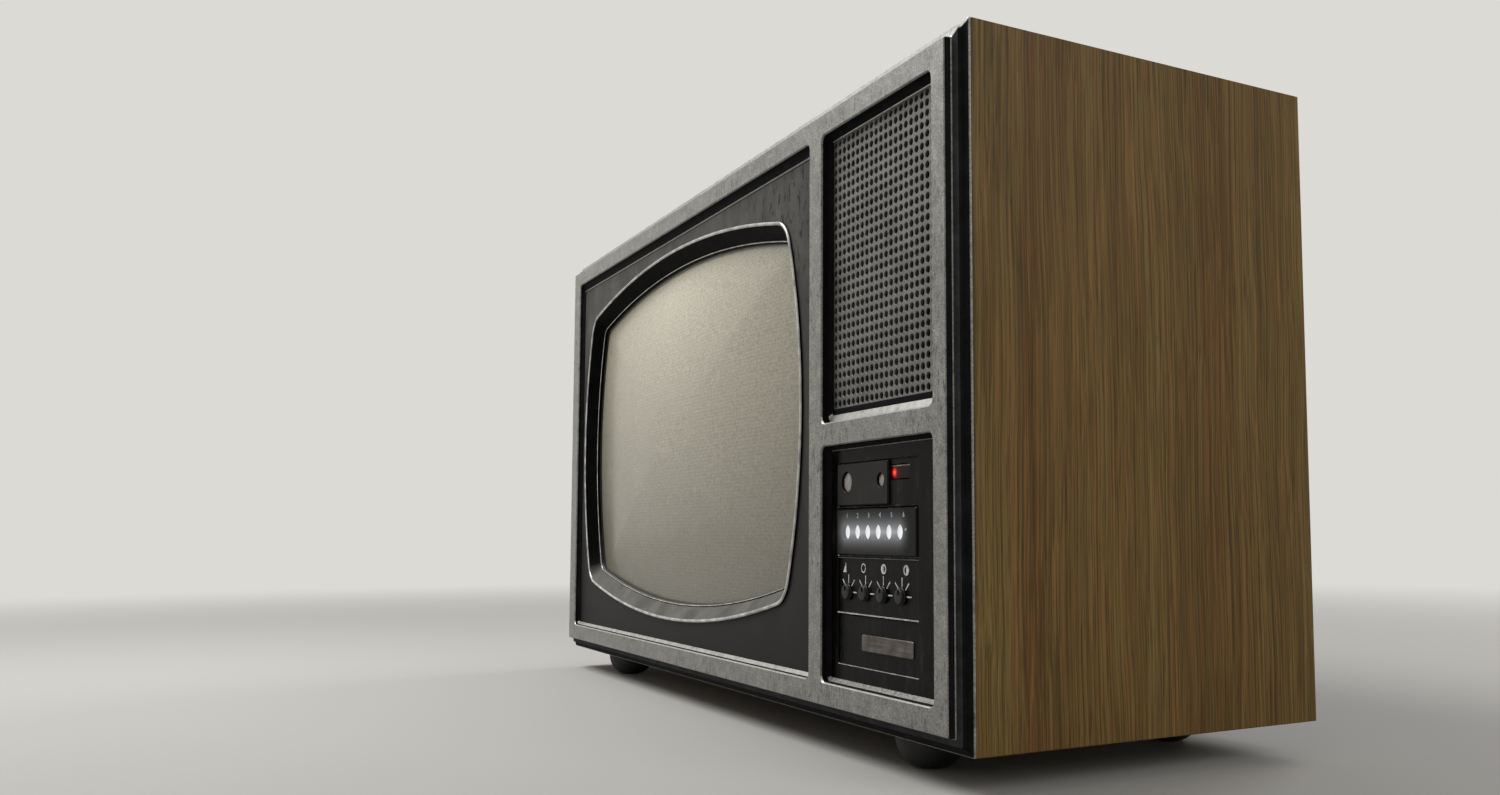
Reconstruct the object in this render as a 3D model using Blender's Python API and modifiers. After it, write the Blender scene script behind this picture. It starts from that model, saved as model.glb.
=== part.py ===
"""Tube television: veneered cabinet, moulded front frame, picture tube, loudspeaker and push-button panel.

Metres, +Z up. The front faces -Y, the feet stand on Z = 0 and the origin is the middle of the footprint.
Below, depth means the distance behind the front face of the frame.
"""

import math
from collections import namedtuple

import bmesh
import bpy
from mathutils import Matrix, Vector

MM = 0.001

# Clearances
FIT_GAP = 0.3 * MM
MITRE_GAP = 0.4 * MM
RUN_GAP = 0.3 * MM
OVERSHOOT = 2 * MM
WELD_DEPTH = 0.6 * MM

# Cabinet of veneered board
CABINET_WIDTH = 690 * MM
CABINET_HEIGHT = 369 * MM
CABINET_DEPTH = 235.5 * MM
PANEL_THICKNESS = 12 * MM
BATTEN_SIZE = 15 * MM

# Domed push-in feet
FOOT_HEIGHT = 20 * MM
FOOT_RADIUS = 20 * MM
FOOT_PAD_RADIUS = 8 * MM
FOOT_SPIGOT_RADIUS = 4 * MM
FOOT_SPIGOT_LENGTH = 8 * MM
FOOT_SIDE_INSET = 85 * MM
FOOT_FRONT_INSET = 27 * MM
FOOT_REAR_INSET = 36 * MM

# Front frame and its three windows
RIM_WIDTH = 9 * MM
FRAME_DEPTH = 10.7 * MM
RIM_BEVEL = 0.6 * MM
RIM_DRAFT = 0.4 * MM
RIM_FACE = 3.2 * MM
RIM_SHELF_WIDTH = 4.6 * MM
RIM_SHELF_FALL = 1.6 * MM
RIM_STEP_WIDTH = 5 * MM
RIM_COVE_WIDTH = 7 * MM
RIM_COVE_FRONT = 3.4 * MM
RIM_COVE_BACK = 1.8 * MM
RIM_EDGE = 1 * MM
LEFT_BAR = 18 * MM
CENTRE_BAR = 16.7 * MM
RIGHT_BAR = 13.2 * MM
TOP_BAR = 13.2 * MM
BOTTOM_BAR = 13.4 * MM
DIVIDER_BAR = 14 * MM
RIGHT_COLUMN_WIDTH = 123.8 * MM
WINDOW_RADIUS = 4 * MM
WINDOW_BEVEL = 0.8 * MM
WINDOW_FOOT = 2.5 * MM
SEAT_WIDTH = 3.5 * MM
LIP_LENGTH = 9.6 * MM
LIP_WALL = 3 * MM

# Panels set into the windows
MASK_DEPTH = 5.2 * MM
MASK_THICKNESS = 3 * MM
GRILLE_DEPTH = 7.5 * MM
GRILLE_THICKNESS = 1.5 * MM
GRILLE_PITCH = 11.1 * MM
GRILLE_HOLE = 5.8 * MM
GRILLE_MARGIN = 3 * MM
FASCIA_DEPTH = 6.5 * MM
FASCIA_THICKNESS = 3 * MM

# Tube opening: four arcs with rounded corners, measured on the outer lip of the surround
TUBE_SHIFT_X = -2.6 * MM
TUBE_SHIFT_Z = 1.9 * MM
MASK_SIDE_BORDER = 15.15 * MM
MASK_TOP_BORDER = 16.7 * MM
TOP_ARC_RADIUS = 950 * MM
SIDE_ARC_RADIUS = 335 * MM
TUBE_CORNER_RADIUS = 24 * MM
LIP_OVERLAP = 2.7 * MM
LIP_HEIGHT = 1.8 * MM
LIP_BEVEL = 0.7 * MM
LIP_CREST = 0.9 * MM
LIP_FALL = 1.1 * MM
SURROUND_NOSE = 0.5 * MM
SURROUND_NOSE_DEPTH = 1 * MM
SURROUND_EDGE = 0.6 * MM
SURROUND_WIDTH = 13 * MM
SURROUND_DEPTH = 9.4 * MM
SURROUND_WALL = 2.5 * MM
GASKET_THICKNESS = 1 * MM
GASKET_WIDTH = 2.6 * MM
GASKET_SHOWS = 0.4 * MM

# Picture tube
FACE_BULGE = 12 * MM
FACE_THICKNESS = 8 * MM
FACE_ROLL = 6 * MM
SKIRT_INSET = 4 * MM
SKIRT_LENGTH = 32 * MM
FUNNEL_LENGTH = 117 * MM
FUNNEL_RADIUS = 48 * MM
FUNNEL_SHARES = (0, 0.5, 1)
FUNNEL_WALL = 5 * MM
FLARE_LENGTH = 50 * MM
NECK_RADIUS = 14.5 * MM
NECK_WALL = 1.6 * MM
NECK_LENGTH = 84 * MM
BAND_OFFSET = 10 * MM
BAND_WIDTH = 15 * MM
BAND_THICKNESS = 1.5 * MM
LUG_LENGTH = 18 * MM
LUG_WIDTH = 16 * MM
LUG_THICKNESS = 2 * MM
LUG_HOLE_REACH = 11 * MM
PILLAR_RADIUS = 4.5 * MM
TUBE_SCREW_RADIUS = 1.8 * MM
TUBE_SCREW_LENGTH = 16 * MM
GUN_STEM = 5 * MM
GUN_DISC_GAP = 5 * MM
GUN_DISC_COUNT = 2
GUN_DISC_PITCH = 24 * MM
GUN_DISC_LENGTH = 12 * MM
GUN_DISC_RADIUS = 11.3 * MM
GUN_CORE_RADIUS = 7 * MM
GUN_TIP_RADIUS = 5 * MM
GUN_TAPER = 2 * MM
YOKE_CLEARANCE = 1 * MM
YOKE_START = 2 * MM
YOKE_FLANGE = 12 * MM
YOKE_SHOULDER = 2 * MM
YOKE_WAIST_WALL = 7.8 * MM
YOKE_COLLAR = 6 * MM
YOKE_WALL = 13 * MM
YOKE_TAIL = 16 * MM
SOCKET_RADIUS = 19 * MM
SOCKET_LENGTH = 16 * MM
NECK_BOARD_SIZE = 62 * MM
BOARD_THICKNESS = 1.6 * MM
REAR_ROOM = 11 * MM
ANODE_CAP_RADIUS = 14 * MM
ANODE_CAP_HEIGHT = 8 * MM
ANODE_NIPPLE = 4 * MM
ANODE_CAP_SHARE = 0.6
ANODE_LEAD_RADIUS = 2.2 * MM
LEAD_STRAIGHT = 6 * MM
LEAD_RISE = 55 * MM
LEAD_STEPS = 12

# Oval loudspeaker
SPEAKER_SIDE_MARGIN = 9.9 * MM
SPEAKER_END_MARGIN = 10.85 * MM
SPEAKER_DEPTH = 32 * MM
SPEAKER_WALL = 1.2 * MM
CONE_WALL = 0.9 * MM
SPEAKER_RIM = 8 * MM
VOICE_COIL_RADIUS = 9 * MM
CONE_CLEARANCE = 8 * MM
CONE_INSET = 1 * MM
BASKET_FLOOR_RADIUS = 20 * MM
BASKET_COLLAR = 2 * MM
DUST_CAP_HEIGHT = 5 * MM
MAGNET_RADIUS = 26 * MM
MAGNET_LENGTH = 16 * MM

# Control panel: four shallow fields, one above the other
FIELD_LEFT = 9.4 * MM
FIELD_BOTTOM = 11.2 * MM
FIELD_TOP = 10.7 * MM
FIELD_WIDTH = 89.6 * MM
FIELD_RECESS = 1.2 * MM
FIELD_RIB = 1.6 * MM
NAME_FIELD_HEIGHT = 28 * MM
KNOB_FIELD_HEIGHT = 31 * MM
BUTTON_FIELD_HEIGHT = 26.5 * MM
LAMP_FIELD_HEIGHT = 24.5 * MM
CONTROL_DEPTH = 35 * MM
BRACKET_THICKNESS = 1.5 * MM
BRACKET_MARGIN = 2 * MM
POST_RADIUS = 3 * MM
POST_INSET = 4.5 * MM
POST_RIGHT_INSET = 10 * MM

# Round push buttons
PROGRAM_COUNT = 6
PROGRAM_PITCH = 11.84 * MM
PROGRAM_START = 11.7 * MM
PROGRAM_RADIUS = 4.4 * MM
PROGRAM_HEIGHT = 0.2 * MM
PROGRAM_STEM_RADIUS = 2 * MM
POWER_START = 11.6 * MM
POWER_RADIUS = 5.75 * MM
POWER_HEIGHT = 0.4 * MM
POWER_STEM_RADIUS = 2.5 * MM
TUNING_START = 50.9 * MM
TUNING_RADIUS = 3.75 * MM
TUNING_HEIGHT = 0.4 * MM
TUNING_STEM_RADIUS = 1.8 * MM
LAMP_ROW_RISE = 1.5 * MM
BUTTON_BEVEL = 0.6 * MM
FLANGE_STEP = 1 * MM
FLANGE_SPACING = 1 * MM
FLANGE_THICKNESS = 1.2 * MM
STEM_LENGTH = 14 * MM
STEM_ROOM = 6 * MM
PRESS_ROOM = 5.5 * MM
SWITCH_HALF_HEIGHT = 9 * MM
SWITCH_MARGIN = 8 * MM

# Indicator
LENS_START = 58.6 * MM
LENS_WIDTH = 20.7 * MM
LENS_HEIGHT = 8 * MM
LENS_RISE = 5.3 * MM
LENS_THICKNESS = 2.8 * MM
LENS_SINK = 0.5 * MM
LED_RADIUS = 2.5 * MM
LED_START = 65.1 * MM

# Rotary knobs
KNOB_NAMES = ("volume", "brightness", "contrast", "tone")
KNOB_PITCH = 20.07 * MM
KNOB_START = 11.1 * MM
KNOB_DROP = 3.9 * MM
KNOB_RADIUS = 4.6 * MM
KNOB_HEIGHT = 2.8 * MM
KNOB_SKIRT = 0.2 * MM
KNOB_BEVEL = 0.8 * MM
KNOB_LIFT = 0.5 * MM
POINTER_WIDTH = 1.2 * MM
POINTER_HEIGHT = 0.6 * MM
SHAFT_RADIUS = 3 * MM
SHAFT_LENGTH = 17 * MM
POT_RADIUS = 8 * MM
POT_ROOM = 10.5 * MM
POT_BOARD_MARGIN = 2 * MM

# Chassis on the cabinet floor
TRAY_LEFT = 130 * MM
TRAY_RIGHT = 25 * MM
TRAY_WIDTH_Y = 115 * MM
TRAY_SHEET = 1.2 * MM
TRAY_HEIGHT = 11 * MM
TRAY_LIP = 8 * MM
TRAY_REAR_ROOM = 12 * MM
BOARD_INSET = 4 * MM
FLYBACK_FROM_RIGHT = 190 * MM
FLYBACK_WIDTH = 50 * MM
FLYBACK_DEPTH = 42 * MM
FLYBACK_HEIGHT = 68 * MM
FLYBACK_COIL_RADIUS = 17 * MM
FLYBACK_COIL_HEIGHT = 10 * MM
CAPACITOR_FROM_RIGHT = 125 * MM
CAPACITOR_RADIUS = 15 * MM
CAPACITOR_HEIGHT = 55 * MM
CAPACITOR_BEVEL = 1 * MM
TUNER_FROM_RIGHT = 60 * MM
TUNER_WIDTH = 78 * MM
TUNER_DEPTH = 45 * MM
TUNER_HEIGHT = 54 * MM

# Back cover with a tapered housing for the tube neck
COVER_RECESS = 1 * MM
COVER_THICKNESS = 2.5 * MM
COVER_CORNER = 3 * MM
HOUSING_BASE_WIDTH = 300 * MM
HOUSING_BASE_HEIGHT = 220 * MM
HOUSING_END_WIDTH = 170 * MM
HOUSING_END_HEIGHT = 140 * MM
HOUSING_CORNER = 16 * MM
VENT_WIDTH = 6 * MM
VENT_HEIGHT = 46 * MM
VENT_PITCH = 17 * MM
VENT_ROW_PITCH = 62 * MM
VENT_ROWS = 2
VENT_FIELD_RIGHT = 146 * MM
VENT_FIELD_LEFT = 44 * MM
VENT_EDGE = 38 * MM
VENT_TOP = 30 * MM
COVER_SCREW_INSET = 50 * MM
COVER_SCREW_RADIUS = 1.7 * MM
COVER_SCREW_LENGTH = 14 * MM
SCREW_HEAD_RADIUS = 4 * MM
SCREW_HEAD_HEIGHT = 2.2 * MM
AERIAL_HEIGHT = 75 * MM
AERIAL_BORE_RADIUS = 4.75 * MM
AERIAL_BARREL_RADIUS = 6.2 * MM
AERIAL_FLANGE_RADIUS = 9 * MM
AERIAL_FLANGE_THICKNESS = 2 * MM
AERIAL_LENGTH = 9 * MM
AERIAL_INNER_LENGTH = 12 * MM
AERIAL_SINK = 2 * MM
INLET_FROM_RIGHT = 170 * MM
INLET_HEIGHT = 45 * MM
INLET_WIDTH = 26 * MM
INLET_TALL = 18 * MM
INLET_WALL = 3 * MM
INLET_FLANGE = 3 * MM
INLET_FLANGE_THICKNESS = 2 * MM
INLET_RECESS = 9 * MM
INLET_PIN_RADIUS = 1.3 * MM
INLET_PIN_SPACING = 10 * MM
INLET_PIN_SINK = 1 * MM

# Facets of round shapes
CORNER_STEPS = 3
SIDE_ARC_STEPS = 3
TOP_ARC_STEPS = 4
SMALL_ROUND = 14
LARGE_ROUND = 20


# Outlines in the plane of the front, as lists of (x, z)
Rect = namedtuple("Rect", "left right bottom top")


def grown(rect, by):
    return Rect(rect.left - by, rect.right + by, rect.bottom - by, rect.top + by)


def centred(x, z, width, height):
    return Rect(x - width / 2, x + width / 2, z - height / 2, z + height / 2)


def middle(rect):
    return (rect.left + rect.right) / 2, (rect.bottom + rect.top) / 2


def square(rect):
    left, right, bottom, top = rect
    return [(left, bottom), (right, bottom), (right, top), (left, top)]


def rounded(rect, radius):
    """The rectangle with round corners, anticlockwise from its lower right corner."""
    outline = []
    lower_left, *others = square(grown(rect, -radius))
    for turn, (x, z) in enumerate([*others, lower_left]):
        for step in range(CORNER_STEPS + 1):
            angle = math.radians(90) * (turn - 1 + step / CORNER_STEPS)
            outline.append((x + radius * math.cos(angle), z + radius * math.sin(angle)))
    return outline


def arc(centre, radius, start, end, steps):
    angles = [start + (end - start) * step / steps for step in range(steps)]
    return [(centre[0] + radius * math.cos(a), centre[1] + radius * math.sin(a)) for a in angles]


def tube_corner():
    """Centre of the corner rounding, and the angles at which it meets the side arc and the top arc."""
    side = Vector((TUBE_HALF_WIDTH - SIDE_ARC_RADIUS, 0))
    top = Vector((0, TUBE_HALF_HEIGHT - TOP_ARC_RADIUS))
    to_side = SIDE_ARC_RADIUS - TUBE_CORNER_RADIUS
    to_top = TOP_ARC_RADIUS - TUBE_CORNER_RADIUS
    between = side - top
    along = (to_top**2 - to_side**2 + between.length_squared) / (2 * between.length)
    across = math.sqrt(to_top**2 - along**2)
    unit = between.normalized()
    centre = top + unit * along + Vector((unit.y, -unit.x)) * across
    from_side = centre - side
    from_top = centre - top
    return centre, math.atan2(from_side.y, from_side.x), math.atan2(from_top.y, from_top.x)


def barrel(inset):
    """Outline of the tube opening about the tube's axis, moved inwards by inset."""
    centre, low, high = tube_corner()
    quarter = arc((TUBE_HALF_WIDTH - SIDE_ARC_RADIUS, 0), SIDE_ARC_RADIUS - inset, 0, low, SIDE_ARC_STEPS)
    quarter += arc(centre, TUBE_CORNER_RADIUS - inset, low, high, CORNER_STEPS)
    top = (0, TUBE_HALF_HEIGHT - TOP_ARC_RADIUS)
    quarter += arc(top, TOP_ARC_RADIUS - inset, high, math.pi / 2, TOP_ARC_STEPS)
    quarter.append((0, TUBE_HALF_HEIGHT - inset))
    back = quarter[::-1]
    outline = quarter[:-1]
    outline += [(-x, z) for x, z in back[:-1]]
    outline += [(-x, -z) for x, z in quarter[:-1]]
    outline += [(x, -z) for x, z in back[:-1]]
    return outline


def scaled(outline, factor):
    return [(x * factor, z * factor) for x, z in outline]


def towards_circle(outline, radius, share):
    """The outline moved by share of the way to a circle about the axis."""
    moved = []
    for x, z in outline:
        reach = radius / math.hypot(x, z)
        moved.append((x + (x * reach - x) * share, z + (z * reach - z) * share))
    return moved


# Places worked out from the sizes
SIDE_X = CABINET_WIDTH / 2
BASE_Z = FOOT_HEIGHT
TOP_Z = FOOT_HEIGHT + CABINET_HEIGHT
CABINET = Rect(-SIDE_X, SIDE_X, BASE_Z, TOP_Z)
CABINET_INSIDE = grown(CABINET, -PANEL_THICKNESS)
CABINET_REAR = FRAME_DEPTH + CABINET_DEPTH
FLOOR_Z = CABINET_INSIDE.bottom

PLATE = grown(CABINET, -RIM_WIDTH)
COLUMN_RIGHT = PLATE.right - RIGHT_BAR
COLUMN_LEFT = COLUMN_RIGHT - RIGHT_COLUMN_WIDTH
WINDOW_BOTTOM = PLATE.bottom + BOTTOM_BAR
WINDOW_TOP = PLATE.top - TOP_BAR
FIELD_HEIGHTS = (NAME_FIELD_HEIGHT, KNOB_FIELD_HEIGHT, BUTTON_FIELD_HEIGHT, LAMP_FIELD_HEIGHT)
FIELD_RIBS = FIELD_RIB * (len(FIELD_HEIGHTS) - 1)
CONTROL_TOP = WINDOW_BOTTOM + FIELD_BOTTOM + sum(FIELD_HEIGHTS) + FIELD_RIBS + FIELD_TOP
SCREEN_WINDOW = Rect(PLATE.left + LEFT_BAR, COLUMN_LEFT - CENTRE_BAR, WINDOW_BOTTOM, WINDOW_TOP)
GRILLE_WINDOW = Rect(COLUMN_LEFT, COLUMN_RIGHT, CONTROL_TOP + DIVIDER_BAR, WINDOW_TOP)
CONTROL_WINDOW = Rect(COLUMN_LEFT, COLUMN_RIGHT, WINDOW_BOTTOM, CONTROL_TOP)

TUBE_X = middle(SCREEN_WINDOW)[0] + TUBE_SHIFT_X
TUBE_Z = middle(SCREEN_WINDOW)[1] + TUBE_SHIFT_Z
TUBE_HALF_WIDTH = (SCREEN_WINDOW.right - SCREEN_WINDOW.left) / 2 - MASK_SIDE_BORDER
TUBE_HALF_HEIGHT = (SCREEN_WINDOW.top - SCREEN_WINDOW.bottom) / 2 - MASK_TOP_BORDER
SURROUND_BACK = MASK_DEPTH + SURROUND_DEPTH
FACE_EDGE = SURROUND_BACK + GASKET_THICKNESS + 2 * FIT_GAP
SKIRT_END = FACE_EDGE + SKIRT_LENGTH
FUNNEL_END = SKIRT_END + FUNNEL_LENGTH
FLARE_END = FUNNEL_END + FLARE_LENGTH
NECK_END = FLARE_END + NECK_LENGTH
BAND_FRONT = FACE_EDGE + BAND_OFFSET
LUG_FRONT = BAND_FRONT + (BAND_WIDTH - LUG_THICKNESS) / 2
LUG_BACK = LUG_FRONT + LUG_THICKNESS
TOTAL_DEPTH = NECK_END + SOCKET_LENGTH + BOARD_THICKNESS + REAR_ROOM + COVER_THICKNESS

FIELD_X = CONTROL_WINDOW.left + FIELD_LEFT
FIELD_RIGHT = FIELD_X + FIELD_WIDTH
FIELD_FLOOR = FASCIA_DEPTH + FIELD_RECESS
FASCIA_BACK = FASCIA_DEPTH + FASCIA_THICKNESS
SWITCH_FRONT = FASCIA_BACK + RUN_GAP + FLANGE_THICKNESS + PRESS_ROOM
POT_FRONT = FASCIA_BACK + POT_ROOM
FIELDS = []
for field_height in FIELD_HEIGHTS:
    field_bottom = FIELDS[-1].top + FIELD_RIB if FIELDS else CONTROL_WINDOW.bottom + FIELD_BOTTOM
    FIELDS.append(Rect(FIELD_X, FIELD_RIGHT, field_bottom, field_bottom + field_height))
NAME_FIELD, KNOB_FIELD, BUTTON_FIELD, LAMP_FIELD = FIELDS
PROGRAM_Z = middle(BUTTON_FIELD)[1]
PROGRAM_XS = [FIELD_X + PROGRAM_START + PROGRAM_PITCH * number for number in range(PROGRAM_COUNT)]
LAMP_ROW_Z = middle(LAMP_FIELD)[1] + LAMP_ROW_RISE
POWER_X = FIELD_X + POWER_START
TUNING_X = FIELD_X + TUNING_START
LENS_X = FIELD_X + LENS_START + LENS_WIDTH / 2
LENS = centred(LENS_X, middle(LAMP_FIELD)[1] + LENS_RISE, LENS_WIDTH, LENS_HEIGHT)
KNOB_Z = middle(KNOB_FIELD)[1] - KNOB_DROP
KNOB_XS = [FIELD_X + KNOB_START + KNOB_PITCH * number for number in range(len(KNOB_NAMES))]
CARRIED_BACK = CONTROL_DEPTH - FIT_GAP

COVER_REAR = CABINET_REAR - COVER_RECESS
COVER_FRONT = COVER_REAR - COVER_THICKNESS
BATTEN_BACK = COVER_FRONT - FIT_GAP
TRAY_REAR = COVER_FRONT - TRAY_REAR_ROOM
TRAY_FRONT = TRAY_REAR - TRAY_WIDTH_Y
TRAY_X = (CABINET_INSIDE.left + TRAY_LEFT, CABINET_INSIDE.right - TRAY_RIGHT)
TRAY_BASE = FLOOR_Z + FIT_GAP
BOARD_BOTTOM = TRAY_BASE + TRAY_HEIGHT + FIT_GAP
BOARD_TOP = BOARD_BOTTOM + BOARD_THICKNESS
CHASSIS_Z = BOARD_TOP + FIT_GAP
CHASSIS_Y = (TRAY_FRONT + TRAY_REAR) / 2

# Scene: the parts, and the shapes that only cut them
for old in list(bpy.data.objects):
    bpy.data.objects.remove(old, do_unlink=True)
PARTS = bpy.data.collections.new("tube_television")
CUTTERS = bpy.data.collections.new("cutters")
bpy.context.scene.collection.children.link(PARTS)
bpy.context.scene.collection.children.link(CUTTERS)
television = bpy.data.objects.new("television", None)
television.location = (0, -TOTAL_DEPTH / 2, 0)
PARTS.objects.link(television)


def finish(name, colour, roughness, metallic=0.0):
    material = bpy.data.materials.new(name)
    material.use_nodes = True
    shader = material.node_tree.nodes["Principled BSDF"]
    shader.inputs["Base Color"].default_value = (*colour, 1)
    shader.inputs["Roughness"].default_value = roughness
    shader.inputs["Metallic"].default_value = metallic
    return material


VENEER = finish("oak veneer", (0.19, 0.115, 0.04), 0.55)
RAW_WOOD = finish("raw pine", (0.45, 0.3, 0.15), 0.8)
SILVER_PAINT = finish("silver-grey paint", (0.33, 0.33, 0.32), 0.45, 0.3)
DARK_PLASTIC = finish("dark grey plastic", (0.05, 0.05, 0.05), 0.5)
GLOSS_BLACK = finish("gloss black plastic", (0.02, 0.02, 0.02), 0.2)
RUBBER = finish("black rubber", (0.015, 0.015, 0.015), 0.7)
GREY_GLASS = finish("grey tube glass", (0.27, 0.26, 0.21), 0.12)
STEEL = finish("plated steel", (0.55, 0.55, 0.53), 0.35, 1.0)
DARK_STEEL = finish("painted steel sheet", (0.09, 0.09, 0.09), 0.5, 0.4)
FERRITE = finish("ferrite and copper winding", (0.18, 0.08, 0.04), 0.6)
PAPER = finish("cone paper", (0.03, 0.03, 0.03), 0.9)
LIT_PLASTIC = finish("lit white plastic", (0.9, 0.9, 0.88), 0.3)
PALE_PLASTIC = finish("pale grey plastic", (0.4, 0.38, 0.36), 0.4)
RED_LENS = finish("red lens", (0.5, 0.01, 0.01), 0.1)
CIRCUIT_BOARD = finish("circuit board", (0.2, 0.13, 0.04), 0.6)
BROWN_PLASTIC = finish("brown moulded plastic", (0.06, 0.035, 0.02), 0.5)


# Shapes
def placed(name, mesh, look, smooth=None):
    """Adds a mesh as a part, or as a cutter where it has no look."""
    obj = bpy.data.objects.new(name, mesh)
    obj.parent = television
    if look is None:
        CUTTERS.objects.link(obj)
        obj.hide_render = True
        obj.display_type = "WIRE"
        return obj
    PARTS.objects.link(obj)
    mesh.materials.append(look)
    if smooth:
        mesh.shade_smooth()
        mesh.set_sharp_from_angle(angle=math.radians(smooth))
    return obj


def loft(name, rings, look=None, loop=False, smooth=None):
    """A skin through rings of equal point counts: capped at both ends, or closed into a loop."""
    shape = bmesh.new()
    rows = [[shape.verts.new(point) for point in ring] for ring in rings]
    pairs = list(zip(rows, rows[1:]))
    if loop:
        pairs.append((rows[-1], rows[0]))
    else:
        shape.faces.new(rows[0])
        shape.faces.new(rows[-1])
    for near, far in pairs:
        for i in range(len(near)):
            j = (i + 1) % len(near)
            shape.faces.new((near[i], near[j], far[j], far[i]))
    bmesh.ops.recalc_face_normals(shape, faces=shape.faces[:])
    mesh = bpy.data.meshes.new(name)
    shape.to_mesh(mesh)
    shape.free()
    return placed(name, mesh, look, smooth)


def ring(outline, depth):
    return [(x, depth, z) for x, z in outline]


def tube_ring(outline, depth):
    return [(TUBE_X + x, depth, TUBE_Z + z) for x, z in outline]


def slab(name, outline, front, back, look=None):
    """A flat outline that fills the depth from front to back."""
    return loft(name, [ring(outline, front), ring(outline, back)], look)


def box(name, low, high, look=None):
    size = Vector(high) - Vector(low)
    shape = bmesh.new()
    place = Matrix.Translation((Vector(low) + Vector(high)) / 2) @ Matrix.Diagonal((*size, 1))
    bmesh.ops.create_cube(shape, size=1, matrix=place)
    mesh = bpy.data.meshes.new(name)
    shape.to_mesh(mesh)
    shape.free()
    return placed(name, mesh, look)


def rod(name, x, z, radius, front, back, look=None, steps=SMALL_ROUND):
    """A cylinder along the depth."""
    shape = bmesh.new()
    place = Matrix.Translation((x, (front + back) / 2, z)) @ Matrix.Rotation(math.pi / 2, 4, "X")
    bmesh.ops.create_cone(
        shape, cap_ends=True, segments=steps, radius1=radius, radius2=radius, depth=back - front, matrix=place
    )
    mesh = bpy.data.meshes.new(name)
    shape.to_mesh(mesh)
    shape.free()
    return placed(name, mesh, look, smooth=40)


def turned(name, profile, place, axis, look, steps=SMALL_ROUND, closed=False):
    """A profile of (radius, height) turned about an axis; it runs down its outer side."""
    mesh = bpy.data.meshes.new(name)
    edges = [(i, i + 1) for i in range(len(profile) - 1)]
    if closed:
        edges.append((len(profile) - 1, 0))
    mesh.from_pydata([(radius, 0, height) for radius, height in profile], edges, [])
    obj = placed(name, mesh, look)
    obj.location = place
    obj.rotation_euler = Vector(axis).to_track_quat("Z", "Y").to_euler()
    screw = obj.modifiers.new("turn", "SCREW")
    screw.steps = steps
    screw.render_steps = steps
    screw.use_merge_vertices = True
    screw.merge_threshold = 0.00001
    screw.use_smooth_shade = True
    return obj


def combine(part, tool, operation):
    step = part.modifiers.new(tool.name, "BOOLEAN")
    step.operation = operation
    step.solver = "EXACT"
    step.object = tool


def cut(part, *tools):
    for tool in tools:
        combine(part, tool, "DIFFERENCE")


def weld(part, *tools):
    for tool in tools:
        combine(part, tool, "UNION")


def repeat(tool, count, offset):
    array = tool.modifiers.new("repeat", "ARRAY")
    array.count = count
    array.use_relative_offset = False
    array.use_constant_offset = True
    array.constant_offset_displace = offset


FRONTWARDS = (0, -1, 0)
BACKWARDS = (0, 1, 0)
UPWARDS = (0, 0, 1)


# Cabinet: four mitred panels
def cabinet_panel(name, outline):
    return slab(name, outline, FRAME_DEPTH, CABINET_REAR, VENEER)


def mitred_strip(outer_z, inner_z):
    outer_x = SIDE_X - MITRE_GAP
    inner_x = CABINET_INSIDE.right - MITRE_GAP
    return [(-outer_x, outer_z), (outer_x, outer_z), (inner_x, inner_z), (-inner_x, inner_z)]


cabinet_panel("cabinet_top_panel", mitred_strip(TOP_Z, CABINET_INSIDE.top))
cabinet_floor = cabinet_panel("cabinet_bottom_panel", mitred_strip(BASE_Z, CABINET_INSIDE.bottom))
for side_name, side in (("cabinet_left_side", -1), ("cabinet_right_side", 1)):
    outer_edge = side * SIDE_X
    inner_edge = side * CABINET_INSIDE.right
    cabinet_panel(
        side_name,
        [(outer_edge, BASE_Z), (outer_edge, TOP_Z), (inner_edge, CABINET_INSIDE.top), (inner_edge, FLOOR_Z)],
    )

# Rear battens, which take the back cover's screws
cover_screw_x = CABINET_INSIDE.right - FIT_GAP - BATTEN_SIZE / 2
cover_screw_zs = (CABINET_INSIDE.bottom + COVER_SCREW_INSET, CABINET_INSIDE.top - COVER_SCREW_INSET)
cover_screw_holes = []
for batten_name, side in (("rear_batten_left", -1), ("rear_batten_right", 1)):
    batten = centred(side * cover_screw_x, middle(CABINET)[1], BATTEN_SIZE, 0)
    batten = Rect(batten.left, batten.right, FLOOR_Z + FIT_GAP, CABINET_INSIDE.top - FIT_GAP)
    strip = slab(batten_name, square(batten), BATTEN_BACK - BATTEN_SIZE, BATTEN_BACK, RAW_WOOD)
    for level, screw_z in zip(("lower", "upper"), cover_screw_zs):
        hole = rod(
            f"{batten_name} {level} pilot", side * cover_screw_x, screw_z, COVER_SCREW_RADIUS + FIT_GAP,
            COVER_REAR - COVER_SCREW_LENGTH - OVERSHOOT, COVER_REAR + OVERSHOOT,
        )
        cut(strip, hole)
        cover_screw_holes.append(hole)

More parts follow.
